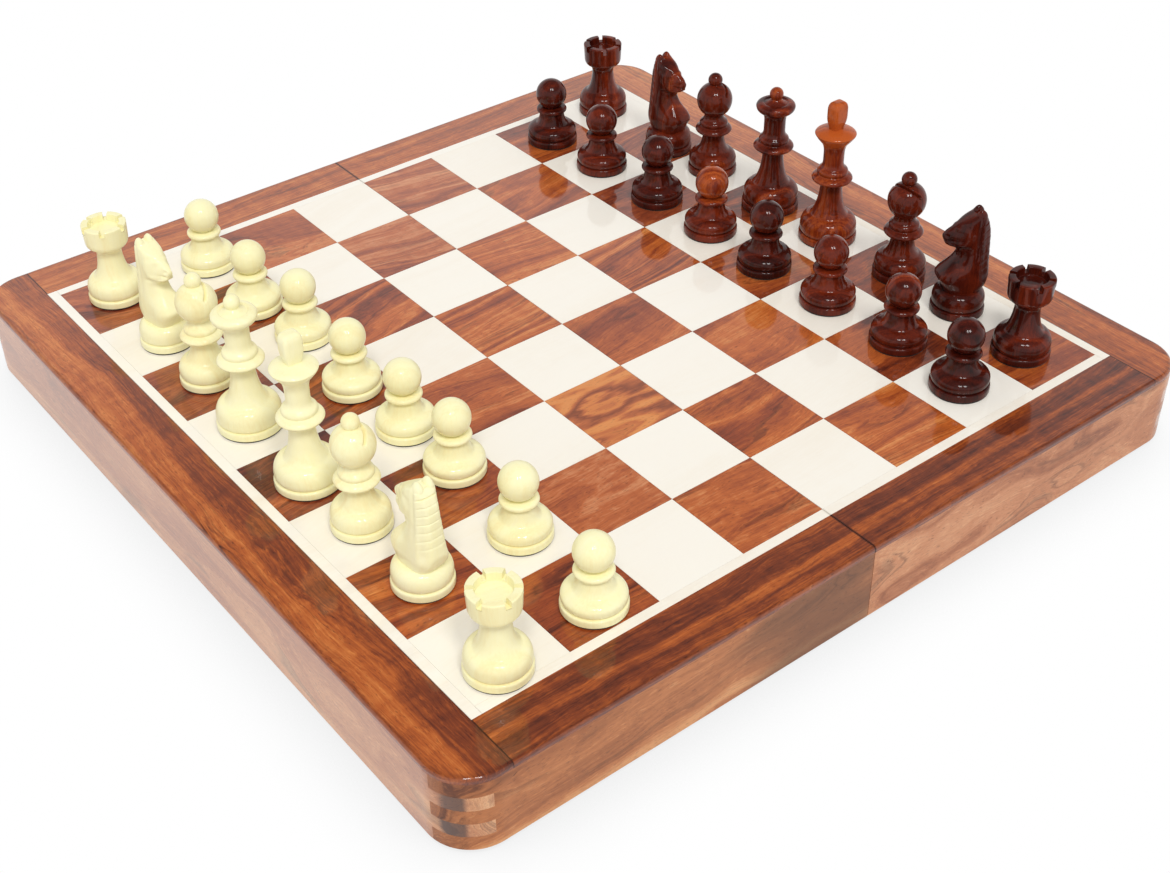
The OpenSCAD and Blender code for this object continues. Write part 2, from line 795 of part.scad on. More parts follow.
on_square(1, 1, [0, 2.5]) rook(white_men);  // white_rook_a1
on_square(2, 1, [1, -2.5]) knight(white_men, -80);  // white_knight_b1
on_square(3, 1, [1, 0.5]) bishop(white_men);  // white_bishop_c1
on_square(4, 1, [-0.5, 2]) queen(white_men);  // white_queen
on_square(5, 1, [-1, -3]) king(white_men);  // white_king
on_square(6, 1, [0.5, 1]) bishop(white_men);  // white_bishop_f1
on_square(7, 1, [0.5, 0.5]) knight(white_men, 95);  // white_knight_g1
on_square(8, 1, [-3, -9]) rook(white_men);  // white_rook_h1
on_square(1, 2, [3.5, 0.5]) pawn(white_men);  // white_pawn_a2
on_square(2, 2, [2.5, -3]) pawn(white_men);  // white_pawn_b2
on_square(3, 2, [6.5, 2]) pawn(white_men);  // white_pawn_c2
on_square(4, 2, [3.5, -2]) pawn(white_men);  // white_pawn_d2
on_square(5, 2, [5, 0]) pawn(white_men);  // white_pawn_e2
on_square(6, 2, [5, 5]) pawn(white_men);  // white_pawn_f2
on_square(7, 2, [2.5, -0.5]) pawn(white_men);  // white_pawn_g2
on_square(8, 2, [0.5, -6]) pawn(white_men);  // white_pawn_h2
on_square(1, 8, [0, 5]) rook(black_men);  // black_rook_a8
on_square(2, 8, [-0.5, -6]) knight(black_men, -85);  // black_knight_b8
on_square(3, 8, [1.5, 1.5]) bishop(black_men);  // black_bishop_c8
on_square(4, 8, [0, -1.5]) queen(black_men);  // black_queen
on_square(5, 8, [0.5, 0]) king(black_men);  // black_king
on_square(6, 8, [2, -3]) bishop(black_men, 183);  // black_bishop_f8
on_square(7, 8, [1, 0.5]) knight(black_men, 150);  // black_knight_g8
on_square(8, 8, [-2.5, 1]) rook(black_men);  // black_rook_h8
on_square(1, 7, [-0.5, -2.5]) pawn(black_men);  // black_pawn_a7
on_square(2, 7, [1, -1]) pawn(black_men);  // black_pawn_b7
on_square(3, 7, [1.5, -2.5]) pawn(black_men);  // black_pawn_c7
on_square(4, 7, [1.5, -1.5]) pawn(black_men);  // black_pawn_d7
on_square(5, 7, [0, -0.5]) pawn(black_men);  // black_pawn_e7
on_square(6, 7, [1, 0]) pawn(black_men);  // black_pawn_f7
on_square(7, 7, [2.5, -0.5]) pawn(black_men);  // black_pawn_g7
on_square(8, 7, [-1.5, 0.5]) pawn(black_men);  // black_pawn_h7
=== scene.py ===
"""Looks of a folding chess box and its men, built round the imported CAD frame.

Metres, in the CAD's own frame: +Z up, +Y along the fold, white men at -X. The men are shaped
in millimetres, upwards from the playing surface, and put_down() sets them on their squares.
"""

from math import cos, pi, radians, sin

import bpy
import numpy as np
from mathutils import Matrix, Vector


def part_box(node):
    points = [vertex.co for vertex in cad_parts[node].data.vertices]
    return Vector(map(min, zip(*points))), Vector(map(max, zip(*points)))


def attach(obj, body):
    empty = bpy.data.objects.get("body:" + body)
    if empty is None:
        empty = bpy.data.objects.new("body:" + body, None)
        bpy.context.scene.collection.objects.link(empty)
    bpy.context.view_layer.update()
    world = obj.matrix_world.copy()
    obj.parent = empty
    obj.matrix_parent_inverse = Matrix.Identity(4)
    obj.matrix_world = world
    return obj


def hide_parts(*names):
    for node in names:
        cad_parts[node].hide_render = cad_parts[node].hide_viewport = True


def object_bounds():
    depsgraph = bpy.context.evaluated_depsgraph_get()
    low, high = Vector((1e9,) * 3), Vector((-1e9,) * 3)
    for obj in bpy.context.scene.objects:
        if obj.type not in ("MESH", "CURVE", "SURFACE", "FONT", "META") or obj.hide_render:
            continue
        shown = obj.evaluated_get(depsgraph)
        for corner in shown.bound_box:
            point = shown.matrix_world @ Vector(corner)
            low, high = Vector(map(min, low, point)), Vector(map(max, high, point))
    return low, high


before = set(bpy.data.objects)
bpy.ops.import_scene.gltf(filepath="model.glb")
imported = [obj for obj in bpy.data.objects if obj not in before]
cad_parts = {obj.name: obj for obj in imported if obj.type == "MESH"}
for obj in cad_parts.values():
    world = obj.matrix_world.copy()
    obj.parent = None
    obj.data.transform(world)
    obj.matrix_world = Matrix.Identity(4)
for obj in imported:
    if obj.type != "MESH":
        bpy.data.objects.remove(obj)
cad_low, cad_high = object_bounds()

MM = 0.001
SQUARE = 32.5
# the playing surface, and half the open board's side
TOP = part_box("base_dark_squares")[1].z / MM
BOARD_HALF = cad_high.x / MM
BORDER = 19
CORNER = 15
# the felt under each man, how far it lies inside the foot and how far over the board
FELT, PAD_INSET, PAD_GAP = 0.6, 0.3, 0.02
# the radius of each kind of man's foot
FOOT = {"pawn": 10.15, "rook": 10.15, "knight": 9.6, "bishop": 9.7, "queen": 11, "king": 10.9}

# The photograph's camera: its place in millimetres from the middle of the field, the way it
# looks, the way that is right in its picture, its lens and its sensor's width
EYE = (-299.8, -398.8, 336.2)
FORWARD = (0.48449, 0.62457, -0.61252)
RIGHT = (0.78515, -0.61922, -0.01037)
LENS, SENSOR = 52.36, 36

# The lamps: how far off in metres, width and height in metres, power in watts
LAMP_DISTANCE, LAMP_SIZE, LAMP_WATTS = 5.0, (0.73, 1.13), 62


# ------------------------------------------------------------------ camera and light
def make_camera():
    """The photograph's viewpoint: up in front of the corner at -X -Y, looking down across the board."""
    data = bpy.data.cameras.new("photo_view")
    data.lens, data.sensor_width, data.sensor_fit = LENS, SENSOR, "HORIZONTAL"
    data.clip_start, data.clip_end = 0.01, 50
    camera = bpy.data.objects.new("photo_view", data)
    bpy.context.scene.collection.objects.link(camera)
    forward, right = Vector(FORWARD).normalized(), Vector(RIGHT).normalized()
    up = right.cross(forward)
    place = Matrix((right, up, -forward)).transposed().to_4x4()
    place.translation = Vector((EYE[0], EYE[1], EYE[2] + TOP)) * MM
    camera.matrix_world = place
    bpy.context.scene.camera = camera


def window_light(name, towards):
    """A white rectangular lamp, out towards a direction, that faces the middle of the board."""
    data = bpy.data.lights.new(name, "AREA")
    data.shape, (data.size, data.size_y) = "RECTANGLE", LAMP_SIZE
    data.energy = LAMP_WATTS
    lamp = bpy.data.objects.new(name, data)
    bpy.context.scene.collection.objects.link(lamp)
    back = Vector(towards).normalized()
    facing = back.to_track_quat("Z", "Y").to_matrix().to_4x4()
    lamp.matrix_world = Matrix.Translation(back * LAMP_DISTANCE) @ facing


# ------------------------------------------------------------------ shader nodes
def srgb(r, g, b):
    """A screen colour, each part from 0 to 255, as a linear one."""
    c = np.array([r, g, b]) / 255
    c = np.where(c <= 0.04045, c / 12.92, ((c + 0.055) / 1.055) ** 2.4)
    return (*c.tolist(), 1.0)


def wire(tree, value, socket):
    """Links an output to a socket, or sets a plain value on it."""
    if isinstance(value, bpy.types.NodeSocket):
        tree.links.new(value, socket)
    else:
        socket.default_value = value


def node(tree, kind, *inputs, out=0, named=None, **settings):
    """One shader node: inputs go to its sockets in order (None skips one), named ones by name."""
    n = tree.nodes.new("ShaderNode" + kind)
    for key, value in settings.items():
        setattr(n, key, value)
    for socket, value in zip(n.inputs, inputs):
        if value is not None:
            wire(tree, value, socket)
    for key, value in (named or {}).items():
        wire(tree, value, n.inputs[key])
    return n.outputs[out]


def maths(tree, operation, a, b=0.0, c=0.0, clamp=False):
    return node(tree, "Math", a, b, c, operation=operation, use_clamp=clamp)


def vector(tree, operation, a, b=(0, 0, 0), scale=1.0):
    out = 1 if operation == "LENGTH" else 0
    return node(tree, "VectorMath", a, b, None, scale, operation=operation, out=out)


def between(tree, value, low, high, start=0.0, end=1.0):
    """Value from low to high becomes start to end in a smooth rise, held beyond them."""
    return node(tree, "MapRange", value, low, high, start, end, interpolation_type="SMOOTHSTEP")


def blend(tree, share, a, b, how="MIX"):
    """Colour a with colour b laid over it by share."""
    n = tree.nodes.new("ShaderNodeMix")
    n.data_type, n.blend_type, n.clamp_factor = "RGBA", how, True
    wire(tree, share, n.inputs[0])
    wire(tree, a, n.inputs[6])
    wire(tree, b, n.inputs[7])
    return n.outputs[2]


def ramp(tree, value, *stops):
    """Colours along a value: stops are (place, colour)."""
    n = tree.nodes.new("ShaderNodeValToRGB")
    wire(tree, value, n.inputs[0])
    marks = n.color_ramp.elements
    while len(marks) < len(stops):
        marks.new(0.5)
    for mark, (at, colour) in zip(marks, stops):
        mark.position, mark.color = at, colour
    return n.outputs[0]


def noise(tree, place, scale=1.0, detail=2.0, rough=0.5, out=0, dims="3D"):
    n = tree.nodes.new("ShaderNodeTexNoise")
    n.noise_dimensions = dims
    wire(tree, place, n.inputs["W" if dims == "1D" else "Vector"])
    n.inputs["Scale"].default_value = scale
    n.inputs["Detail"].default_value = detail
    n.inputs["Roughness"].default_value = rough
    return n.outputs[out]


def shader_group(name, ins, outs):
    """An empty node group with sockets of named kinds: (group, what it is given, what it gives)."""
    group = bpy.data.node_groups.new(name, "ShaderNodeTree")
    for way, sockets in {"INPUT": ins, "OUTPUT": outs}.items():
        for key, kind in sockets.items():
            group.interface.new_socket(key, in_out=way, socket_type="NodeSocket" + kind)
    entry, leave = group.nodes.new("NodeGroupInput"), group.nodes.new("NodeGroupOutput")
    return group, entry.outputs, leave.inputs


# How often each part of wood's figure repeats in a millimetre: along the grain, across it
GRAIN = {
    "wander": (0.012, 0.04), "waver": (0.07, 0.3), "broken": (0.03, 0.12), "fibre": (0.05, 1.3),
    "fleck": (0.22, 1.1), "curl": (0.22, 0.07), "pore": (0.3, 2.3), "patch": (0.009, 0.045),
}


def grained(tree, place, part):
    """A place scaled along and across the grain for one part of the figure."""
    along, across = GRAIN[part]
    return vector(tree, "MULTIPLY", place, (along, across, across))


def timber_group():
    """The figure of wood, in millimetres, with X along the grain.

    Rings lie round the heart, a line along X: their distance from it is bent by slow noise, and
    noise of that distance alone gives bands (Streak) and thin dark lines (Vein). Noise drawn
    out along X gives Fibre and short pale Flecks, noise drawn out across it a faint Curl, and
    long thin cells give open pores. Patch is a broad cloud, and Relief is for a Bump's Height.
    """
    group, ins, outs = shader_group(
        "timber",
        {"Vector": "Vector", "Heart": "Vector", "Ring": "Float", "Wander": "Float"},
        dict.fromkeys(("Streak", "Vein", "Fibre", "Fleck", "Curl", "Pore", "Patch", "Relief"), "Float"),
    )
    t = group
    place = ins["Vector"]
    slow = noise(t, grained(t, place, "wander"), 1, 2, out=1)
    small = noise(t, grained(t, place, "waver"), 1, 3, out=1)
    wander = vector(t, "SCALE", vector(t, "SUBTRACT", slow, (0.5, 0.5, 0.5)), scale=ins["Wander"])
    waver = vector(t, "SCALE", vector(t, "SUBTRACT", small, (0.5, 0.5, 0.5)), scale=2.2)
    bent = vector(t, "ADD", vector(t, "ADD", place, wander), waver)
    from_heart = vector(t, "MULTIPLY", vector(t, "SUBTRACT", bent, ins["Heart"]), (0, 1, 1))
    rings = maths(t, "DIVIDE", vector(t, "LENGTH", from_heart), ins["Ring"])
    wire(t, noise(t, rings, 1.0, 4, 0.6, dims="1D"), outs["Streak"])
    lines = noise(t, maths(t, "ADD", rings, 31.7), 1.6, 2, 0.6, dims="1D")
    vein = between(t, maths(t, "ABSOLUTE", maths(t, "SUBTRACT", lines, 0.5)), 0.0, 0.05, 1, 0)
    broken = between(t, noise(t, grained(t, place, "broken"), 1, 2), 0.45, 0.65)
    wire(t, maths(t, "MULTIPLY", vein, broken), outs["Vein"])
    fibre = noise(t, grained(t, bent, "fibre"), 1, 4, 0.65)
    wire(t, fibre, outs["Fibre"])
    fleck = noise(t, grained(t, bent, "fleck"), 1, 3, 0.6)
    wire(t, between(t, fleck, 0.55, 0.72), outs["Fleck"])
    wire(t, noise(t, grained(t, bent, "curl"), 1, 3, 0.55), outs["Curl"])
    cells = t.nodes.new("ShaderNodeTexVoronoi")
    wire(t, grained(t, bent, "pore"), cells.inputs["Vector"])
    cells.inputs["Scale"].default_value = 1
    pore = between(t, cells.outputs["Distance"], 0.12, 0.3, 1, 0)
    wire(t, pore, outs["Pore"])
    wire(t, noise(t, grained(t, place, "patch"), 1, 2), outs["Patch"])
    wire(t, maths(t, "MULTIPLY_ADD", pore, -0.7, maths(t, "MULTIPLY", fibre, 0.5)), outs["Relief"])
    return group


# the range of angles, in radians, by which the grain of single squares is off true
SQUARE_TURN = 0.4


def square_group():
    """Gives every square of the field a plank of its own: its cell's random numbers shift and
    turn the timber's coordinates and set its tone, so neighbours don't share a figure. The two
    rows at each end, where the men stand, are Outer darker or lighter: on the dark squares this
    is painted shade among the men. Kind is a number for the plank, and Gold is 1 on
    the one square of the field, f4, that is cut from golden sapwood."""
    group, ins, outs = shader_group(
        "square_stock",
        {"Vector": "Vector", "Spread": "Float", "Outer": "Float"},
        {"Vector": "Vector", "Tone": "Float", "Kind": "Float", "Gold": "Float"},
    )
    t = group
    cell = vector(t, "FLOOR", vector(t, "MULTIPLY", ins["Vector"], (1 / SQUARE, 1 / SQUARE, 0)))
    chance = t.nodes.new("ShaderNodeTexWhiteNoise")
    wire(t, vector(t, "ADD", cell, (9.5, 3.5, 0.5)), chance.inputs["Vector"])
    spare = maths(t, "SUBTRACT", chance.outputs["Value"], 0.5)
    angle = maths(t, "MULTIPLY", spare, SQUARE_TURN)
    turned = node(t, "VectorRotate", ins["Vector"], named={"Angle": angle}, rotation_type="Z_AXIS")
    far_apart = vector(t, "MULTIPLY", chance.outputs["Color"], (900, 240, 160))
    wire(t, vector(t, "ADD", turned, far_apart), outs["Vector"])
    row = node(t, "SeparateXYZ", vector(t, "ADD", cell, (0.5, 0.5, 0.5)))
    # the two rows at each end, where the men stand: the dark squares are painted darker here, as shade among
    # the men
    outer = maths(t, "GREATER_THAN", maths(t, "ABSOLUTE", row), 2.0)
    own = maths(t, "MULTIPLY", spare, ins["Spread"])
    wire(t, maths(t, "MULTIPLY_ADD", outer, ins["Outer"], own), outs["Tone"])
    wire(t, node(t, "SeparateXYZ", chance.outputs["Color"], out=2), outs["Kind"])
    off = vector(t, "LENGTH", vector(t, "SUBTRACT", cell, (-1, -2, 0)))
    wire(t, maths(t, "LESS_THAN", off, 0.5), outs["Gold"])
    return group


def strip_group():
    """Turns the grain of the border along each strip. The strips at the two ends run right
    across the board, so their grain lies along Y; each strip also gets its own part of the
    timber. Tone is painted light, set by place: the far side strip and the far end strip are
    lighter, the side strips grade lighter towards -X and the end strips towards +Y, standing
    in for sheen and the fall of light. Line is 1 along the joints between strips and at the fold."""
    group, ins, outs = shader_group(
        "strip_stock",
        {"Vector": "Vector"},
        {"Vector": "Vector", "Tone": "Float", "Line": "Float"},
    )
    t = group
    x, y = (node(t, "SeparateXYZ", ins["Vector"], out=i) for i in (0, 1))
    reach, join = maths(t, "ABSOLUTE", x), BOARD_HALF - BORDER
    end = maths(t, "GREATER_THAN", reach, join)
    across = node(t, "VectorRotate", ins["Vector"], named={"Angle": -pi / 2}, rotation_type="Z_AXIS")
    chosen = t.nodes.new("ShaderNodeMix")
    chosen.data_type = "VECTOR"
    wire(t, end, chosen.inputs[0])
    wire(t, ins["Vector"], chosen.inputs[4])
    wire(t, across, chosen.inputs[5])
    right, back = maths(t, "GREATER_THAN", x, 0.0), maths(t, "GREATER_THAN", y, 0.0)
    back = maths(t, "MULTIPLY", back, maths(t, "SUBTRACT", 1.0, end))
    apart = node(t, "CombineXYZ", maths(t, "MULTIPLY", right, 730.0), maths(t, "MULTIPLY", back, 57.0),
                 maths(t, "MULTIPLY", end, 83.0))
    wire(t, vector(t, "ADD", chosen.outputs[1], apart), outs["Vector"])
    # painted light: the tone is set by where a strip lies, lighter on the far side and at the far end and
    # graded along each strip, for sheen and the fall of light
    side = maths(t, "MULTIPLY_ADD", back, 0.22, maths(t, "MULTIPLY_ADD", x, -0.0004, -0.12))
    ends = maths(t, "MULTIPLY_ADD", right, 0.12, maths(t, "MULTIPLY_ADD", y, 0.0006, 0.08))
    tone = node(t, "Mix", end, None, side, ends)
    wire(t, tone, outs["Tone"])
    fold = between(t, reach, 0.2, 0.8, 1, 0)
    joint = between(t, maths(t, "ABSOLUTE", maths(t, "SUBTRACT", reach, join)), 0.1, 0.4, 1, 0)
    wire(t, maths(t, "MAXIMUM", fold, joint), outs["Line"])
    return group


def outline_group():
    """How far inside the board's outer outline a place lies, in mm: the depth below the nearest
    straight side, or below the arc of a rounded corner."""
    group, ins, outs = shader_group(
        "outline_depth",
        {"Vector": "Vector"},
        {"Depth": "Float"},
    )
    t = group
    away = vector(t, "ABSOLUTE", ins["Vector"])
    split = (node(t, "SeparateXYZ", away, out=i) for i in (0, 1))
    dx, dy = (maths(t, "SUBTRACT", part, BOARD_HALF - CORNER) for part in split)
    over = node(t, "CombineXYZ", maths(t, "MAXIMUM", dx, 0.0), maths(t, "MAXIMUM", dy, 0.0), 0.0)
    outside = vector(t, "LENGTH", over)
    inside = maths(t, "MINIMUM", maths(t, "MAXIMUM", dx, dy), 0.0)
    wire(t, maths(t, "SUBTRACT", CORNER, maths(t, "ADD", outside, inside)), outs["Depth"])
    return group


TIMBER, STOCK, STRIPS, OUTLINE = timber_group(), square_group(), strip_group(), outline_group()
ALONG = {"x": (0, 0, 0), "y": (0, 0, -pi / 2), "z": (0, pi / 2, 0)}


def new_material(name):
    material = bpy.data.materials.new(name)
    material.use_nodes = True
    tree = material.node_tree
    return material, tree, tree.nodes["Principled BSDF"]


def own_place(tree, along="x", shift=(0, 0, 0)):
    """Object coordinates in millimetres, turned so that the grain runs along X, and shifted."""
    where = node(tree, "TexCoord", out=3)
    return node(tree, "Mapping", where, shift, ALONG[along], (1000, 1000, 1000), vector_type="POINT")


def grouped(tree, group, **values):
    n = tree.nodes.new("ShaderNodeGroup")
    n.node_tree = group
    for key, value in values.items():
        wire(tree, value, n.inputs[key])
    return n.outputs


def bump(tree, height, strength, distance):
    return node(tree, "Bump", named={"Height": height, "Strength": strength, "Distance": distance})


def varnish(shader, rough=0.36, coat=0.42, coat_rough=0.06, ior=1.45, specular=0.12):
    """A clear lacquer over the wood, set on the shader's own sockets."""
    lacquer = {
        "Coat Weight": coat, "Coat Roughness": coat_rough, "Coat IOR": ior,
        "Specular IOR Level": specular, "Roughness": rough,
    }
    for key, value in lacquer.items():
        shader.inputs[key].default_value = value


# The golden sapwood of one square, by how far along its streaks; grey-brown heartwood; and what
# turns an orange plank to a purple-brown one
SAPWOOD = [(0.1, srgb(112, 52, 34)), (0.38, srgb(190, 104, 58)),
           (0.62, srgb(218, 134, 70)), (0.95, srgb(226, 152, 88))]
HEARTWOOD = srgb(106, 68, 44)
PURPLE = (0.93, 1.02, 1.6, 1)
# how far in from the board's outline the finger ends' dark wood starts and is full
FINGER_IN, FINGER_OUT = 6.2, 4.7


def wood(name, tones, along="x", shift=(0, 0, 0), stock=None, heart=(0, 60, -40), ring=6.0, wander=10.0,
         streak=1.0, fibre=0.5, fleck=0.2, curl=0.3, patch=0.8, pore=0.4, vein=0.4, relief=0.25, shade=0.0,
         spread=0.3, outer=0.0, edge=0.0, ends=0.0, seam=0.8, stain=None, crown=None,
         purple=0.0, golden=False, gloss=None):
    """Varnished timber. tones run from its dark streaks over its body colour to its light ones;
    the other numbers say how much each part of the figure moves the tone. stock is the group
    that cuts the timber up, for the squares or the border's strips, and sets a tone that holds
    painted shade in the dark squares' end rows and painted light on the strips. stain is where
    a grey-brown patch of heartwood lies along X, how far it reaches and how strong it is. crown
    is where, above the board, pale sapwood starts, where it is full, and how much lighter it is.
    purple is how far some squares lean from orange to purple-brown, and golden gives one of
    them its sapwood. edge darkens a band along the board's outline, its rounded top edge:
    partly a darker varnish there and partly painted shade on the round. ends darkens the end
    grain of the fingers at its corners, and seam the joints between strips."""
    material, t, shader = new_material(name)
    body, place, tone, line = own_place(t), own_place(t, along, shift), None, None
    if stock == "squares":
        cut = grouped(t, STOCK, Vector=body, Spread=spread, Outer=outer)
        place, tone = cut["Vector"], cut["Tone"]
    if stock == "strips":
        cut = grouped(t, STRIPS, Vector=body)
        place, tone, line = cut["Vector"], cut["Tone"], cut["Line"]
    figure = grouped(t, TIMBER, Vector=place, Heart=heart, Ring=ring, Wander=wander)
    level = maths(t, "MULTIPLY_ADD", figure["Fleck"], fleck, 0.5 + shade)
    for key, share in {"Streak": streak, "Fibre": fibre, "Curl": curl, "Patch": patch}.items():
        level = maths(t, "MULTIPLY_ADD", maths(t, "SUBTRACT", figure[key], 0.5), share, level)
    cloud = maths(t, "SUBTRACT", figure["Patch"], 0.5)
    # the stock's tone: each plank's own, with painted shade in the dark squares' end rows and painted light
    # on the border's strips
    if tone is not None:
        level = maths(t, "ADD", level, tone)
    if crown:
        high = maths(t, "MULTIPLY_ADD", cloud, 6.0, node(t, "SeparateXYZ", body, out=2))
        level = maths(t, "ADD", level, between(t, high, TOP + crown[0], TOP + crown[1], 0, crown[2]))
    steps = len(tones) - 1
    colour = ramp(t, level, *[(i / steps, c) for i, c in enumerate(tones)])
    if purple:
        colour = blend(t, between(t, cut["Kind"], 0.35, 0.9, 0, purple), colour, PURPLE, "MULTIPLY")
    if golden:
        gold = ramp(t, maths(t, "MULTIPLY_ADD", figure["Streak"], 2.6, -0.85), *SAPWOOD)
        colour = blend(t, cut["Gold"], colour, gold)
    if stain:
        middle, spread_x, strength = stain
        off = maths(t, "DIVIDE", maths(t, "SUBTRACT", node(t, "SeparateXYZ", body), middle), spread_x)
        ragged = maths(t, "MULTIPLY_ADD", cloud, 2.4, maths(t, "ABSOLUTE", off))
        colour = blend(t, between(t, ragged, 0.5, 1.4, strength, 0.0), colour, HEARTWOOD)
    dark = tuple(c * 0.4 for c in tones[0][:3]) + (1,)
    lines = maths(t, "MULTIPLY", figure["Vein"], vein)
    marks = maths(t, "MULTIPLY_ADD", figure["Pore"], pore, lines, clamp=True)
    if ends:
        face = vector(t, "ABSOLUTE", node(t, "TexCoord", out=1))
        sides = node(t, "SeparateXYZ", face, out={"x": 0, "y": 1, "z": 2}[along])
        reach = maths(t, "ABSOLUTE", node(t, "SeparateXYZ", body))
        on_corner = between(t, reach, BOARD_HALF - FINGER_IN, BOARD_HALF - FINGER_OUT, 0.1, 1.0)
        end_grain = maths(t, "MULTIPLY", between(t, sides, 0.28, 0.5), on_corner)
        marks = maths(t, "MULTIPLY_ADD", end_grain, ends, marks, clamp=True)
    # a darker band along the outline, on the border's rounded top edge: partly darker varnish, partly
    # painted shade on the round
    if edge:
        depth = grouped(t, OUTLINE, Vector=body)["Depth"]
        rim = between(t, maths(t, "MULTIPLY_ADD", figure["Fibre"], 2.0, depth), 1.2, 3.6, 1, 0)
        marks = maths(t, "MULTIPLY_ADD", rim, edge, marks, clamp=True)
    if line is not None:
        marks = maths(t, "MAXIMUM", marks, maths(t, "MULTIPLY", line, seam))
    wire(t, blend(t, marks, colour, dark), shader.inputs["Base Color"])
    varnish(shader, **(gloss or {}))
    wire(t, bump(t, figure["Relief"], relief, 0.0001), shader.inputs["Normal"])
    return material


def metal(name, colour, rough, tarnish=None):
    """Plated or solid metal with fine scratches and a tarnish that gathers in patches."""
    material, t, shader = new_material(name)
    place = own_place(t)
    cloud = noise(t, place, 0.5, 4, 0.6)
    lines = noise(t, vector(t, "MULTIPLY", place, (0.6, 9, 9)), 1, 3, 0.6)
    dull = tarnish or tuple(c * 0.6 for c in colour[:3]) + (1,)
    base = blend(t, between(t, cloud, 0.42, 0.7), colour, dull)
    wire(t, base, shader.inputs["Base Color"])
    shader.inputs["Metallic"].default_value = 1.0
    wire(t, between(t, lines, 0.3, 0.7, rough * 0.8, rough * 1.5), shader.inputs["Roughness"])
    wire(t, bump(t, lines, 0.3, 0.00002), shader.inputs["Normal"])
    return material


def felt_material(name, colour, pile):
    """Pressed wool: fibres that lie every way, as noise in two sizes, with a soft sheen."""
    material, t, shader = new_material(name)
    place = own_place(t)
    hair = noise(t, vector(t, "ADD", place, noise(t, place, 0.9, 2, out=1)), 3.2, 5, 0.7)
    clump = noise(t, place, 0.35, 3, 0.6)
    shade = maths(t, "ADD", maths(t, "MULTIPLY", hair, 0.7), maths(t, "MULTIPLY", clump, 0.3))
    dark = tuple(c * 0.45 for c in colour[:3]) + (1,)
    light = tuple(min(1, c * 1.7 + 0.01) for c in colour[:3]) + (1,)
    wire(t, ramp(t, shade, (0.3, dark), (0.5, colour), (0.72, light)), shader.inputs["Base Color"])
    shader.inputs["Roughness"].default_value = 0.95
    shader.inputs["Sheen Weight"].default_value = 0.5
    shader.inputs["Sheen Roughness"].default_value = 0.4
    wire(t, bump(t, shade, 0.7, pile), shader.inputs["Normal"])
    return material


# ------------------------------------------------------------------ surfaces from formulas
def arc(r, z, rr, rz, a0, a1, n=24):
    """Part of an ellipse round (r, z), from angle a0 to a1 in degrees."""
    a = np.radians(np.linspace(a0, a1, n))
    return np.stack([r + rr * np.cos(a), z + rz * np.sin(a)], 1)


def bow(p, c, q, n=16):
    """A curve from p to q that leaves and arrives towards c: (1-t)^2 p + 2t(1-t) c + t^2 q."""
    t = np.linspace(0, 1, n)[:, None]
    p, c, q = map(np.array, (p, c, q))
    return (1 - t) ** 2 * p + 2 * t * (1 - t) * c + t**2 * q


def worn(outline, blur=0.14, stride=1.3):
    """The outline with its corners rubbed round. It is resampled finely along its length,
    averaged with a bell curve of width blur, and thinned to a point every bend degrees or
    stride millimetres."""
    sample, bend = 0.05, 7.0
    outline = np.concatenate([np.atleast_2d(p) for p in outline])
    outline = outline[np.r_[True, np.hypot(*np.diff(outline, axis=0).T) > 1e-4]]
    length = np.r_[0, np.cumsum(np.hypot(*np.diff(outline, axis=0).T))]
    at = np.linspace(0, length[-1], int(length[-1] / sample) + 1)
    fine = np.stack([np.interp(at, length, c) for c in outline.T], 1)
    reach = int(3 * blur / sample)
    bell = np.exp(-0.5 * (np.arange(-reach, reach + 1) * sample / blur) ** 2)
    padded = np.pad(fine, ((reach, reach), (0, 0)), mode="reflect", reflect_type="odd")
    soft = np.stack([np.convolve(c, bell / bell.sum(), "valid") for c in padded.T], 1)
    soft[0], soft[-1] = fine[0], fine[-1]
    way = np.unwrap(np.arctan2(*np.diff(soft, axis=0).T[::-1]))
    score = np.r_[0, np.cumsum(np.abs(np.diff(way)))] / np.radians(bend) + at[:-1] / stride
    keep = np.r_[0, np.flatnonzero(np.diff(np.floor(score))) + 1, len(soft) - 1]
    return soft[np.unique(keep)]


def closed_grid(grid, low, high):
    """A closed shell from rings stacked between two poles: (points, quads, triangles)."""
    rows, cols = grid.shape[:2]
    points = np.concatenate([[low], grid.reshape(-1, 3), [high]])
    j = np.arange(cols)
    k, last = (j + 1) % cols, 1 + (rows - 1) * cols
    this = 1 + np.arange(rows - 1)[:, None] * cols
    quads = np.stack([this + j, this + k, this + cols + k, this + cols + j], -1).reshape(-1, 4)
    bottom = np.stack([np.zeros_like(j), 1 + k, 1 + j], 1)
    top = np.stack([np.full_like(j, len(points) - 1), last + j, last + k], 1)
    return points, quads, np.concatenate([bottom, top])


def turned(outline, turns=80):
    """An outline of (radius, height) swept once round the Z axis. turns is how many steps, or
    the angles themselves."""
    a = np.linspace(0, 2 * pi, turns, endpoint=False) if np.isscalar(turns) else turns
    r, z = outline[1:-1].T
    grid = np.stack([np.outer(r, np.cos(a)), np.outer(r, np.sin(a)), np.repeat(z[:, None], len(a), 1)], -1)
    return closed_grid(grid, (0, 0, outline[0, 1]), (0, 0, outline[-1, 1]))


def placed(shell, by):
    """A shell moved by a 4x4 matrix."""
    points, quads, tris = shell
    m = np.array(by)
    return points @ m[:3, :3].T + m[:3, 3], quads, tris


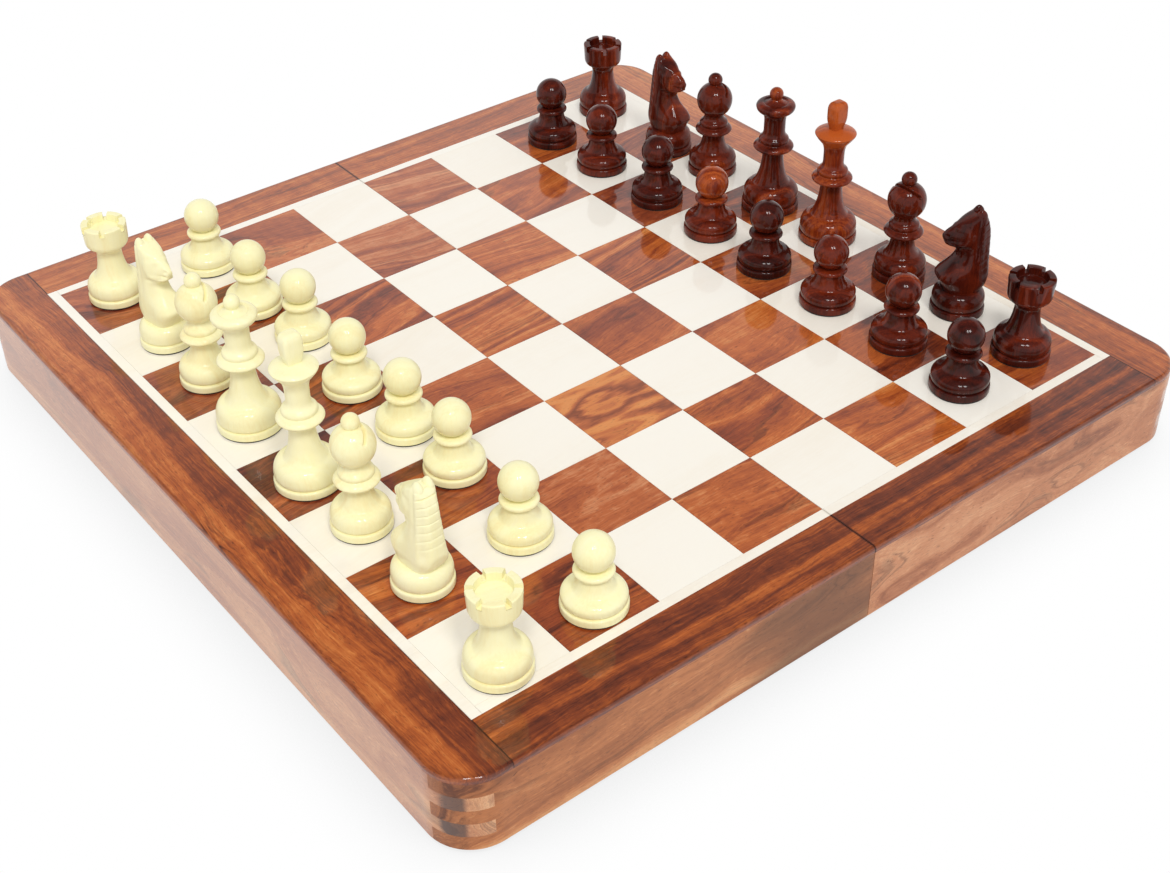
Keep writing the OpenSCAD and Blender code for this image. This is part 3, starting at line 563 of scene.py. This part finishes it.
def piece(name, shells, material, body):
    """One object made of closed shells in millimetres, which rides on a CAD body."""
    points = np.concatenate([s[0] for s in shells]) * MM
    shift = np.cumsum([0] + [len(s[0]) for s in shells[:-1]])
    quads = np.concatenate([s[1] + k for s, k in zip(shells, shift)]).astype(np.int32)
    tris = np.concatenate([s[2] + k for s, k in zip(shells, shift)]).astype(np.int32)
    mesh = bpy.data.meshes.new(name)
    mesh.vertices.add(len(points))
    mesh.vertices.foreach_set("co", points.astype(np.float32).ravel())
    mesh.loops.add(quads.size + tris.size)
    mesh.loops.foreach_set("vertex_index", np.concatenate([quads.ravel(), tris.ravel()]))
    mesh.polygons.add(len(quads) + len(tris))
    starts = np.concatenate([np.arange(len(quads)) * 4, quads.size + np.arange(len(tris)) * 3])
    mesh.polygons.foreach_set("loop_start", starts.astype(np.int32))
    mesh.update(calc_edges=True)
    mesh.validate()
    mesh.shade_smooth()
    mesh.set_sharp_from_angle(angle=radians(40))
    mesh.materials.append(material)
    obj = bpy.data.objects.new(name, mesh)
    bpy.context.scene.collection.objects.link(obj)
    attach(obj, body)
    return obj


# ------------------------------------------------------------------ outlines of the men
# The foot's ring, its rounded edge, the groove over it and how far in the swelling starts, and
# the bead at shoulders and collars
RING, ROUND, GROOVE, SWELL, BEAD = 2.6, 0.9, 0.2, 0.3, 0.35


def foot(r, shoulder_r, shoulder_z):
    """The foot all the men share: a straight ring, a groove and a swelling up to the shoulder."""
    top = FELT + RING
    wide, wide_z = r - SWELL, top + RING * 0.8
    return [
        [(0, FELT), (r, FELT)],
        bow((r, top - ROUND), (r, top), (r - ROUND, top)),
        bow((r - ROUND - GROOVE, top + GROOVE), (wide, top + GROOVE), (wide, wide_z)),
        bow((wide, wide_z), (wide, shoulder_z - SWELL * 3), (shoulder_r, shoulder_z)),
    ]


def flare(shoulder_r, shoulder_z, neck_r, neck_z):
    """The hollow sweep from the shoulder up to the neck, with a small bead where it starts."""
    start = shoulder_z + BEAD
    hollow = start + (neck_z - shoulder_z) * 0.27
    return [bow((shoulder_r - BEAD, start), (neck_r + BEAD, hollow), (neck_r, neck_z), 24)]


def collar(r, z, neck_r, top_r):
    """A wide ring below a narrower one, under the head of the bishop, queen and king."""
    narrow = (r + neck_r) / 2
    return [
        bow((neck_r + BEAD, z), (r - BEAD / 2, z + BEAD), (r, z + r * 0.22)),
        bow((r, z + r * 0.22), (r - BEAD, z + r * 0.36), (narrow, z + r * 0.42)),
        bow((narrow - BEAD, z + r * 0.46), (narrow + BEAD, z + r * 0.62), (narrow - BEAD * 2, z + r * 0.74)),
        bow((narrow - BEAD * 2, z + r * 0.74), (top_r, z + r * 0.84), (top_r, z + r * 1.1)),
    ]


def stem(kind, shoulder, neck, ring_r, ring_z, waist):
    """A bishop, queen or king up to its head: foot, sweep and collar."""
    below = foot(FOOT[kind], *shoulder) + flare(*shoulder, neck, ring_z - BEAD)
    return below + collar(ring_r, ring_z, neck, waist)


def pawn():
    """A ball on a thin round collar."""
    head, head_z, rim, high, rounding = 6.2, 20.9, 6.15, 2.0, 1.15
    shoulder, neck = (6.6, 8), 4.8
    rim_z = head_z - head * 0.87 - high * 0.6
    outline = foot(FOOT["pawn"], *shoulder) + flare(*shoulder, neck, rim_z - high / 2)
    outline += [
        arc(rim - rounding, rim_z, rounding, high / 2, -90, 90),
        arc(0, head_z, head, head, -60, 90, 40),
    ]
    return [turned(worn(outline), 72)]


def rook():
    """The battlement is cut by lowering the tower's top where its angle is inside a notch."""
    height, tower, tower_h, inner, cup = 30.7, 7.9, 9.2, 5.5, 2.8
    shoulder, neck, edge_r = (7, 9.6), 4.4, 0.3
    base, cup_z = height - tower_h, height - cup
    outline = foot(FOOT["rook"], *shoulder) + flare(*shoulder, neck, base - 3)
    outline += [
        bow((neck, base - 3), (neck, base - 0.5), (tower - 1.6, base + 0.4)),
        bow((tower - 1.6, base + 0.4), (tower - edge_r, base + 1), (tower - edge_r, base + 3)),
        [(tower, height - edge_r), (tower - edge_r, height), (inner, height)],
        [(inner - edge_r, cup_z), (0, cup_z)],
    ]
    half_notch, notches, notch_z = 0.8, 6, height - cup * 0.75
    middle = np.arange(notches) * 2 * pi / notches
    edge = half_notch / (tower - 1.2)
    sides = np.concatenate([middle + s * edge * f for s in (-1, 1) for f in (0.94, 1.06)])
    plain = np.linspace(0, 2 * pi, 84, endpoint=False)
    angles = np.unique(np.round(np.mod(np.concatenate([plain, sides]), 2 * pi), 5))
    points, quads, tris = turned(worn(outline), angles)
    a = np.arctan2(points[:, 1], points[:, 0])[:, None] - middle
    off = np.abs(np.mod(a + pi, 2 * pi) - pi).min(1)
    on_wall = np.hypot(points[:, 0], points[:, 1]) > inner - 0.5
    points[(off < edge) & (points[:, 2] > notch_z) & on_wall, 2] = notch_z
    return [(points, quads, tris)]


def step(value, low, high):
    """0 below low, 1 above high and a smooth rise between."""
    t = np.clip((value - low) / (high - low), 0, 1)
    return t * t * (3 - 2 * t)


def bishop():
    """The mitre's cut is a slanting slot: places near the slot's plane, on the side it comes in
    from, are pushed in towards the middle of the head."""
    knob, height, ring_z, ring_r, head = 2.8, 42, 17, 7.2, 6.9
    shoulder, neck = (6.5, 9.3), 4.1
    knob_z = height - knob
    low = ring_z + ring_r * 1.1
    tall = knob_z - knob * 0.6 - low
    waist = neck - BEAD
    outline = stem("bishop", shoulder, neck, ring_r, ring_z, waist) + [
        bow((waist, low), (head + BEAD, low + tall * 0.2), (head, low + tall * 0.55), 40),
        bow((head, low + tall * 0.55), (head - 0.6, low + tall * 0.88), (knob - 0.6, low + tall), 40),
        arc(0, knob_z, knob, knob, -38, 90),
    ]
    points, quads, tris = turned(worn(outline, stride=0.3), 160)
    tilt, half_slot, depth = radians(50), 0.45, 0.2
    middle = np.array((0, 0, low + tall * 0.5))
    x, z = points[:, 0] - head * 0.15, points[:, 2] - (low + tall * 0.79)
    across = (z * cos(tilt) - x * sin(tilt)) / half_slot
    along = x * cos(tilt) + z * sin(tilt)
    on_head = (points[:, 2] > low + 1) & (points[:, 2] < low + tall)
    cut = np.exp(-(across**4)) * step(along, -1.6, -0.4) * on_head
    points += (middle - points) * (depth * cut)[:, None]
    return [(points, quads, tris)]


def queen():
    """A wide cup with a ball standing in its hollow."""
    ball, height, ring_z, ring_r, crown = 2.6, 49.9, 24.4, 7.7, 7.4
    shoulder, neck = (7.3, 10.6), 3.9
    ball_z = height - ball
    low, waist = ring_z + ring_r * 1.1, neck + BEAD / 2
    top = ball_z - ball - 0.2
    tall = top - low
    outline = stem("queen", shoulder, neck, ring_r, ring_z, waist) + [
        bow((waist, low + tall * 0.3), (waist, low + tall * 0.62), (crown - 1.2, low + tall * 0.66)),
        bow((crown - 1.2, low + tall * 0.66), (crown, low + tall * 0.72), (crown, low + tall * 0.85)),
        bow((crown, low + tall * 0.85), (crown - BEAD, top - BEAD), (crown - 2.6, top - BEAD)),
        bow((crown - 2.9, top - BEAD * 2), (ball + BEAD, top - BEAD), (ball * 0.75, top + ball * 0.34)),
        arc(0, ball_z, ball, ball, -41, 90),
    ]
    return [turned(worn(outline), 88)]


def power(value, exponent):
    """Keeps the sign and raises the size to a power."""
    return np.sign(value) * np.abs(value) ** exponent


def king():
    """The block on top is a rounded rectangle in plan, whose width follows its height."""
    height, ring_z, ring_r, crown, block = 56, 23.9, 7.6, 7.6, 10.6
    shoulder, neck = (7.2, 10.4), 4
    low, waist, top = ring_z + ring_r * 1.1, neck - BEAD / 2, height - block
    tall = top - low
    outline = stem("king", shoulder, neck, ring_r, ring_z, waist) + [
        bow((waist, low + tall * 0.25), (waist, low + tall * 0.45), (waist + 1.1, low + tall * 0.58)),
        bow((waist + 1.1, low + tall * 0.58), (crown - BEAD, low + tall * 0.78), (crown, low + tall * 0.86)),
        bow((crown, low + tall * 0.86), (crown - BEAD * 2, top - BEAD), (0, top + BEAD)),
    ]
    wide, sunk, squareness = 6.6, 0.3, 0.4
    high = block + sunk
    side = [[(0, 0), (wide * 0.36, 0), (wide * 0.38, high * 0.12)],
            bow((wide * 0.38, high * 0.12), (wide * 0.5, high * 0.3), (wide * 0.5, high * 0.5)),
            bow((wide * 0.5, high * 0.76), (wide * 0.47, high), (wide * 0.2, high)), [(0, high)]]
    share = worn(side, blur=0.3)
    a = np.linspace(0, 2 * pi, 56, endpoint=False)
    r, z = share[1:-1].T
    across, deep = np.outer(r, power(np.cos(a), squareness)), np.outer(r * 0.8, power(np.sin(a), squareness))
    grid = np.stack([across, deep, np.repeat(z[:, None], len(a), 1)], -1)
    cap = closed_grid(grid, (0, 0, 0), (0, 0, high))
    return [turned(worn(outline), 88), placed(cap, Matrix.Translation((0, 0, top - sunk)))]


# The horse's outline above its foot: (height, reach forwards) up the chest, throat, jaw,
# muzzle, brow and forehead, (height, reach) up the mane, and (height, half thickness).
CHEST = np.array([
    (9.4, 6.2), (11.8, 7.3), (14.7, 9.2), (15.8, 9.4), (18.6, 7.0), (20.7, 5.1), (23.1, 3.1),
    (24.5, 2.6), (26.2, 3.9), (27.2, 5.1), (27.6, 6.4), (28.1, 7.6), (30.1, 8.6), (31.4, 8.8),
    (33.0, 7.2), (34.2, 5.6), (35.6, 3.8), (36.8, 1.8), (38.0, -0.4), (39.0, -2.0),
])
MANE = np.array([
    (9.4, -6.5), (11.7, -8.3), (15.6, -9.2), (20.9, -8.7), (26.1, -8.4), (30.2, -8.2),
    (33.0, -7.8), (36.4, -6.8), (38.0, -6.0), (39.0, -5.0),
])
THICK = np.array([
    (9.4, 5.5), (14, 5.7), (20, 4.9), (25, 4.2), (31, 4.1), (35.5, 3.9), (38.2, 3.6), (39, 3.2),
])
# what is carved in each side: (reach, height) of its middle and the square of its size; the
# cheek's middle and radius, and how high a lock of the mane is; an ear's foot and its lean
EYEBALL, SOCKET, NOSTRIL = ((4.2, 34.4), 0.9), ((4.1, 34.2), 4.5), ((7.6, 31.4), 0.5)
CHEEK, CHEEK_R, LOCK = (2.4, 31.4), 4.2, 2.9
EAR_AT, EAR_LEAN = (-3.7, 1.75, 36.8), radians(2)


def softened(curve):
    """A curve averaged with a bell curve, held at its ends."""
    spread, reach = 2.2, 6
    bell = np.exp(-0.5 * (np.arange(-reach, reach + 1) / spread) ** 2)
    return np.convolve(np.pad(curve, reach, mode="edge"), bell / bell.sum(), "valid")


def horse():
    """The carved head, as blocky as the plank it was sawn from. Every height has a rounded
    cross-section from the mane to the chest, narrowed towards the face and the muzzle; then
    cheeks, eyes, nostrils, mouth and the cuts across the mane push its sides in and out."""
    heights = np.concatenate([
        np.linspace(9.4, 27, 60), np.linspace(27.15, 28.3, 14), np.linspace(28.6, 39, 54),
    ])
    front, back, half = (softened(np.interp(heights, *table.T)) for table in (CHEST, MANE, THICK))
    a = np.linspace(0, 2 * pi, 112, endpoint=False)
    middle, reach = ((front + back) / 2)[:, None], ((front - back) / 2)[:, None]
    h = np.repeat(heights[:, None], len(a), 1)
    u = middle + reach * power(np.cos(a), 0.7)
    wide = half[:, None] * power(np.sin(a), 0.55)

    def bell_at(place, size):
        return np.exp(-((u - place[0]) ** 2 + (h - place[1]) ** 2) / size)

    muzzle = step(h, 26.4, 28.5) * step(u, 3.0, 8.0)
    face = step(h, 27, 30) * step(u, -0.5, 5.5)
    crest = step(-u, 4.5, 6.5) * step(h, 13, 17)
    throat = step(h, 17, 22) * (1 - step(h, 26.2, 28)) * step(u, -2, 4)
    for part, share in ((muzzle, 0.22), (face, 0.38), (crest, 0.12), (throat, 0.25)):
        wide *= 1 - share * part
    side = np.sign(np.sin(a))[None, :] * np.clip(np.abs(np.sin(a)) * 3, 0, 1)[None, :]
    cheek = np.clip(1 - np.hypot(u - CHEEK[0], h - CHEEK[1]) / CHEEK_R, 0, 1)
    breast = np.exp(-((u - 5.5) ** 2) / 7 - (h - 14.5) ** 2 / 12)
    wide += side * (0.45 * step(cheek, 0.0, 0.5) + 0.5 * breast)
    wide += side * (0.6 * bell_at(*EYEBALL) - 0.55 * bell_at(*SOCKET))
    mouth = np.exp(-((h - 29.4 + (u - 8) * 0.12) ** 2) / 0.09) * step(u, 5.4, 6.6)
    jaw = np.exp(-((h - 27.6 - (u - 3.5) * 0.25) ** 2) / 0.5) * step(u, -1.5, 1) * (1 - step(u, 5, 7))
    wide -= side * (0.5 * bell_at(*NOSTRIL) + 0.5 * mouth + 0.45 * jaw)
    lock = np.abs(np.mod((h + 0.4 * u - 0.2) / LOCK, 1) - 0.5) * 2
    cut = (1 - step(lock, 0.0, 0.3)) * (0.14 + 0.4 * step(h, 34.5, 36))
    wide -= side * step(-u, 3.6, 5.6) * step(h, 17, 21) * cut
    u = u + 1.2 * step(-u, 4.6, 6.2) * step(h, 16, 20) * cut
    mane_line = np.exp(-((u + 3.4 + (h - 26) * 0.02) ** 2) / 0.2) * step(h, 19, 23)
    wide -= side * 0.25 * mane_line
    grid = np.stack([u, wide, h], -1)
    body = closed_grid(grid, (middle[0, 0], 0, 9.3), (middle[-1, 0], 0, 39.1))
    return [body, *(ear(s) for s in (-1, 1))]


def ear(side):
    """A pointed ear, turned, flattened and leaning outwards, on one side of the head."""
    outline = [[(0, 0), (1.7, 0.2)], bow((1.7, 0.2), (2.0, 2.4), (0.5, 3.9)), [(0, 4.1)]]
    x, y, z = EAR_AT
    by = Matrix.Translation((x, side * y, z)) @ Matrix.Rotation(-EAR_LEAN * side, 4, "X")
    return placed(turned(worn(outline, blur=0.3), 24), by @ Matrix.Diagonal((1.25, 0.9, 1, 1)))


def knight():
    """The horse on a turned foot that is closed over at the shoulder."""
    shoulder_r, shoulder_z = 6.7, 9.6
    stand = turned(worn(foot(FOOT["knight"], shoulder_r, shoulder_z) + [[(0, shoulder_z)]]), 80)
    return [stand, *horse()]


def put_down(shells, file, rank, off, facing=0):
    """A man's shells set on the middle of its square, moved off it as by a hand, and turned."""
    x, y = (rank - 4.5) * SQUARE + off[0], (4.5 - file) * SQUARE + off[1]
    by = Matrix.Translation((x, y, TOP)) @ Matrix.Rotation(radians(facing), 4, "Z")
    return [placed(s, by) for s in shells]


# ------------------------------------------------------------------ finishes
# Each wood's tones, from its dark streaks to its light ones
ROSE = [srgb(86, 32, 18), srgb(148, 66, 30), srgb(194, 100, 42), srgb(222, 144, 80)]
STRIP = [srgb(76, 28, 14), srgb(126, 55, 22), srgb(180, 90, 34), srgb(212, 126, 60)]
HONEY = [srgb(108, 60, 38), srgb(156, 94, 56), srgb(188, 120, 74), srgb(214, 154, 104)]
TAN = [srgb(112, 62, 42), srgb(168, 104, 68), srgb(198, 134, 94), srgb(222, 166, 124)]
# the end walls' tones, paler and pinker than the other walls' wood: painted sheen, for the white wash that
# lacquer shows on a wall seen at a glancing angle
PALE_SHEEN_WALL = [srgb(124, 74, 50), srgb(178, 112, 72), srgb(210, 148, 100), srgb(230, 178, 130)]
MAPLE = [srgb(244, 230, 208), srgb(254, 248, 236), srgb(255, 252, 244)]

# How each part is varnished: a thick lacquer on top, satin side walls, polished end walls
LACQUER = {"coat": 1.0, "ior": 1.5}
SATIN = {"coat": 0.34}
POLISH = {"coat": 0.85, "coat_rough": 0.1, "ior": 1.6}
# outer: the dark squares in the two rows at each end, where the men stand, are painted darker, as shade
# among the men
dark_square = wood("dark_square_rosewood", ROSE, stock="squares", heart=(0, 90, -50), ring=4, wander=16,
                   streak=1.6, fibre=0.7, fleck=0.14, curl=0.35, vein=0.45, spread=0.2, outer=-0.2,
                   shade=0.08, purple=1.0, golden=True, gloss=LACQUER)
light_square = wood("light_square_maple", MAPLE, stock="squares", heart=(0, 120, -60), ring=9, wander=14,
                    streak=0.3, fibre=0.2, fleck=0.03, curl=0.1, patch=0.25, pore=0.01, vein=0.01,
                    relief=0.05, spread=0.15, gloss=LACQUER)
inlay = wood("inlay_maple", MAPLE, stock="strips", heart=(0, 200, -60), ring=9, streak=0.4, fibre=0.35,
             fleck=0.05, patch=0.3, pore=0.02, vein=0.02, relief=0.06, seam=0.25, gloss=LACQUER)
# edge darkens the rounded top edge: partly darker varnish, partly painted shade
border = wood("border_rosewood", STRIP, stock="strips", heart=(0, 50, -70), wander=12, streak=1.1,
              fibre=1.0, fleck=0.16, curl=0.4, patch=0.5, edge=0.35, gloss=LACQUER)
WALL = {"heart": (0, 30, 70), "ring": 8, "wander": 30, "streak": 2.0, "ends": 0.15}
near_wall = wood("side_wall_near_base", HONEY, shift=(12, 0, 0), stain=(-22, 34, 0.75), gloss=SATIN, **WALL)
lid_near_wall = wood("side_wall_near_lid", TAN, shift=(400, 14, 30), gloss=SATIN, **WALL)
far_wall = wood("side_wall_far", HONEY, shift=(800, 30, 0), gloss=SATIN, **WALL)
# both end walls take the paler tones of painted sheen
end_wall = wood("end_wall_base", PALE_SHEEN_WALL, along="y", gloss=POLISH,
                **WALL | {"streak": 1.0, "curl": 0.1, "ends": 0.9})
lid_end_wall = wood("end_wall_lid", PALE_SHEEN_WALL, along="y", shift=(500, 0, 0), gloss=POLISH, shade=-0.08, **WALL)
inner_wall = wood("inner_wall", HONEY, along="y", shift=(900, 0, 0), **WALL)
plywood = wood("plywood_birch", [srgb(176, 140, 96), srgb(206, 172, 124), srgb(222, 192, 146)], along="y",
               ring=12, wander=20, pore=0.2, vein=0.15, gloss={"rough": 0.6, "coat": 0.0})
brass = metal("hinge_brass", srgb(206, 170, 96), 0.28, tarnish=srgb(150, 108, 52))
steel = metal("pin_steel", srgb(190, 190, 192), 0.3)
nickel = metal("magnet_nickel", srgb(214, 212, 206), 0.18)
green_felt = felt_material("lining_felt_green", srgb(30, 84, 56), 0.0004)
black_felt = felt_material("base_felt_black", srgb(24, 24, 24), 0.0002)

FINISH = {
    "dark_squares": dark_square, "light_squares": light_square, "inlay_line": inlay, "border": border,
    "hinge_wall": inner_wall, "far_wall": far_wall, "near_wall": near_wall, "end_wall": end_wall,
    "lid_near_wall": lid_near_wall, "lid_end_wall": lid_end_wall,
    "panel": plywood, "closure_magnets": nickel, "hinge_leaves": brass, "hinge_screws": brass,
    "hinge_pins": steel,
}
for name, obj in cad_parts.items():
    material = FINISH.get(name) or FINISH.get(name.split("_", 1)[1])
    if material:
        obj.data.materials.clear()
        obj.data.materials.append(material)


# ------------------------------------------------------------------ felt in the two trays
def lay_felt(half):
    """A sheet of felt glued into a half's tray, seen from below. Its height is a sum of long
    sine ripples a tenth of a millimetre deep, and it is pressed up towards the panel along its
    edges, where it was cut."""
    low, high = (np.array(c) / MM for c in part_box(half + "_lining"))
    # how far it stops short of the walls, its height over the underside of the CAD lining, how
    # deep its ripples are, and how far up and how widely its edges are pressed
    gap, rest, deep, pressed, margin = 0.2, 0.14, 0.06, 0.28, 0.9
    x, y = np.meshgrid(np.linspace(low[0] + gap, high[0] - gap, 70),
                       np.linspace(low[1] + gap, high[1] - gap, 150), indexing="ij")
    inward = np.minimum(np.minimum(x - low[0], high[0] - x), np.minimum(y - low[1], high[1] - y))
    ripple = np.sin(x * 0.21 + y * 0.05) * np.cos(y * 0.13 - 0.8) + 0.6 * np.sin(x * 0.09 - y * 0.31)
    z = low[2] + rest + deep * ripple + pressed * np.exp(-((inward / margin) ** 2))
    points = np.stack([x, y, z], -1).reshape(-1, 3)
    i, j = np.meshgrid(np.arange(x.shape[0] - 1), np.arange(x.shape[1] - 1), indexing="ij")
    k, n = i * x.shape[1] + j, x.shape[1]
    quads = np.stack([k, k + 1, k + n + 1, k + n], -1).reshape(-1, 4)
    felt = piece("felt_" + half + "_tray", [(points, quads, np.zeros((0, 3), int))], green_felt, half)
    thickness = felt.modifiers.new("thickness", "SOLIDIFY")
    thickness.thickness, thickness.offset = 0.4 * MM, -1
    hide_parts(half + "_lining")


for half in ("base", "lid"):
    lay_felt(half)

# ------------------------------------------------------------------ the men
SHAPES = {
    "pawn": pawn(), "rook": rook(), "knight": knight(),
    "bishop": bishop(), "queen": queen(), "king": king(),
}
# name: (file, rank, off the square's middle, facing in degrees)
SETTING = {
    "white_rook_a1": (1, 1, (0, 2.5), 0), "white_knight_b1": (2, 1, (1, -2.5), -80),
    "white_bishop_c1": (3, 1, (1, 0.5), 0), "white_queen": (4, 1, (-0.5, 2), 0),
    "white_king": (5, 1, (-1, -3), 0), "white_bishop_f1": (6, 1, (0.5, 1), 0),
    "white_knight_g1": (7, 1, (0.5, 0.5), 95), "white_rook_h1": (8, 1, (-3, -9), 24),
    "white_pawn_a2": (1, 2, (3.5, 0.5), 0), "white_pawn_b2": (2, 2, (2.5, -3), 0),
    "white_pawn_c2": (3, 2, (6.5, 2), 0), "white_pawn_d2": (4, 2, (3.5, -2), 0),
    "white_pawn_e2": (5, 2, (5, 0), 0), "white_pawn_f2": (6, 2, (5, 5), 0),
    "white_pawn_g2": (7, 2, (2.5, -0.5), 0), "white_pawn_h2": (8, 2, (0.5, -6), 0),
    "black_rook_a8": (1, 8, (0, 5), 0), "black_knight_b8": (2, 8, (-0.5, -6), -85),
    "black_bishop_c8": (3, 8, (1.5, 1.5), 0), "black_queen": (4, 8, (0, -1.5), 0),
    "black_king": (5, 8, (0.5, 0), 0), "black_bishop_f8": (6, 8, (2, -3), 183),
    "black_knight_g8": (7, 8, (1, 0.5), 150), "black_rook_h8": (8, 8, (-2.5, 1), 0),
    "black_pawn_a7": (1, 7, (-0.5, -2.5), 0), "black_pawn_b7": (2, 7, (1, -1), 0),
    "black_pawn_c7": (3, 7, (1.5, -2.5), 0), "black_pawn_d7": (4, 7, (1.5, -1.5), 0),
    "black_pawn_e7": (5, 7, (0, -0.5), 0), "black_pawn_f7": (6, 7, (1, 0), 0),
    "black_pawn_g7": (7, 7, (2.5, -0.5), 0), "black_pawn_h7": (8, 7, (-1.5, 0.5), 0),
}
BOXWOOD = [srgb(242, 214, 132), srgb(253, 247, 197), srgb(255, 252, 222)]
SHEESHAM = [srgb(26, 7, 6), srgb(72, 20, 10), srgb(118, 40, 17), srgb(184, 86, 34)]
MEN_GLOSS = {"rough": 0.3, "coat": 0.45, "coat_rough": 0.05, "specular": 0.05}
boxwood = wood("boxwood_men", BOXWOOD, along="z", heart=(0, 90, 40), ring=7, wander=6, streak=0.5, fibre=0.3,
               fleck=0.05, curl=0.1, patch=0.3, pore=0.03, vein=0.03, relief=0.06, gloss=MEN_GLOSS)
# how much lighter or darker than its wood's middle tone each black man is
SHADE = {
    "black_rook_a8": -0.08, "black_knight_b8": -0.08, "black_bishop_c8": -0.02, "black_queen": 0.02,
    "black_king": 0.14, "black_bishop_f8": -0.1, "black_knight_g8": -0.2, "black_rook_h8": -0.14,
    "black_pawn_a7": -0.18, "black_pawn_b7": -0.08, "black_pawn_c7": -0.12, "black_pawn_d7": 0.04,
    "black_pawn_e7": -0.3, "black_pawn_f7": 0.02, "black_pawn_g7": -0.02, "black_pawn_h7": -0.24,
}
# the three whose top is pale sapwood: from and to which height, and how much lighter
CROWN = {"black_king": (38, 42, 0.42), "black_pawn_d7": (13.5, 16, 0.3), "black_queen": (43, 45.5, 0.25)}

for name, (file, rank, off, facing) in SETTING.items():
    kind, white = name.split("_")[1], name.startswith("white")
    if white:
        finish = boxwood
    else:
        finish = wood("wood_of_" + name, SHEESHAM, along="z", shift=(file * 90, rank, file * 31),
                      heart=(0, 140, -60), ring=4, wander=8, streak=0.9, fleck=0.08,
                      curl=0.2, patch=0.7, pore=0.3, relief=0.12, shade=SHADE[name],
                      crown=CROWN.get(name), gloss=MEN_GLOSS)
    wooden = piece("wood_" + name, put_down(SHAPES[kind], file, rank, off, facing), finish, name)
    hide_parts(name)
    r = FOOT[kind] - PAD_INSET
    pad = turned(worn([[(0, PAD_GAP), (r, PAD_GAP), (r, FELT), (0, FELT)]], blur=0.06), 64)
    felt = piece("felt_" + name, put_down([pad], file, rank, off), black_felt, name)

# ------------------------------------------------------------------ floor, light, camera
def make_floor():
    """A plain white floor. To the camera it is white but for the soft shadow where the board
    shuts off the room's light, and clear enough that a half folded down past it still shows."""
    reach, shadow_size, darkest = 3.0, 0.035, 0.84
    mesh = bpy.data.meshes.new("floor")
    corners = [(-reach, -reach, 0), (reach, -reach, 0), (reach, reach, 0), (-reach, reach, 0)]
    mesh.from_pydata(corners, [], [(0, 1, 2, 3)])
    material = bpy.data.materials.new("floor_white")
    material.use_nodes = True
    t = material.node_tree
    t.nodes.remove(t.nodes["Principled BSDF"])
    paper = node(t, "BsdfDiffuse", (0.9, 0.9, 0.9, 1))
    open_sky = node(t, "AmbientOcclusion", None, shadow_size, out=1, samples=8)
    shadow = between(t, open_sky, 0.3, 0.9, darkest, 1.0)
    clear = node(t, "BsdfTransparent", node(t, "CombineColor", shadow, shadow, shadow))
    rays = t.nodes.new("ShaderNodeLightPath").outputs
    seen = maths(t, "MAXIMUM", maths(t, "MAXIMUM", rays["Is Camera Ray"], rays["Is Glossy Ray"]),
                 maths(t, "MAXIMUM", rays["Is Transmission Ray"], rays["Is Shadow Ray"]))
    wire(t, node(t, "MixShader", seen, paper, clear), t.nodes["Material Output"].inputs["Surface"])
    mesh.materials.append(material)
    floor = bpy.data.objects.new("floor", mesh)
    bpy.context.scene.collection.objects.link(floor)


def make_world():
    """Even white light. The camera sees it as white, and so do reflections up to a height; above
    that they see a dimmer ceiling, so lacquer is paler where one looks along it."""
    world = bpy.data.worlds.new("white_room")
    bpy.context.scene.world = world
    world.use_nodes = True
    t = world.node_tree
    rays = t.nodes.new("ShaderNodeLightPath").outputs
    seen = maths(t, "MAXIMUM", rays["Is Camera Ray"], rays["Is Transmission Ray"])
    # the light on surfaces, the ceiling's brightness in reflections, where it starts and is full
    fill, dim, low, high = 0.6, 0.25, 0.48, 0.67
    height = node(t, "SeparateXYZ", node(t, "TexCoord", out=0), out=2)
    ceiling = between(t, height, low, high, 1.0, dim)
    mirrored = node(t, "Mix", rays["Is Glossy Ray"], None, fill, ceiling)
    back = t.nodes["Background"]
    back.inputs["Color"].default_value = (1, 1, 1, 1)
    wire(t, maths(t, "MAXIMUM", mirrored, seen), back.inputs["Strength"])


make_camera()
make_floor()
make_world()
window_light("window_left", (-0.45, -0.5, 1.0))
window_light("window_right", (-0.2, -0.68, 1.0))
bpy.context.scene.view_settings.view_transform = "Standard"
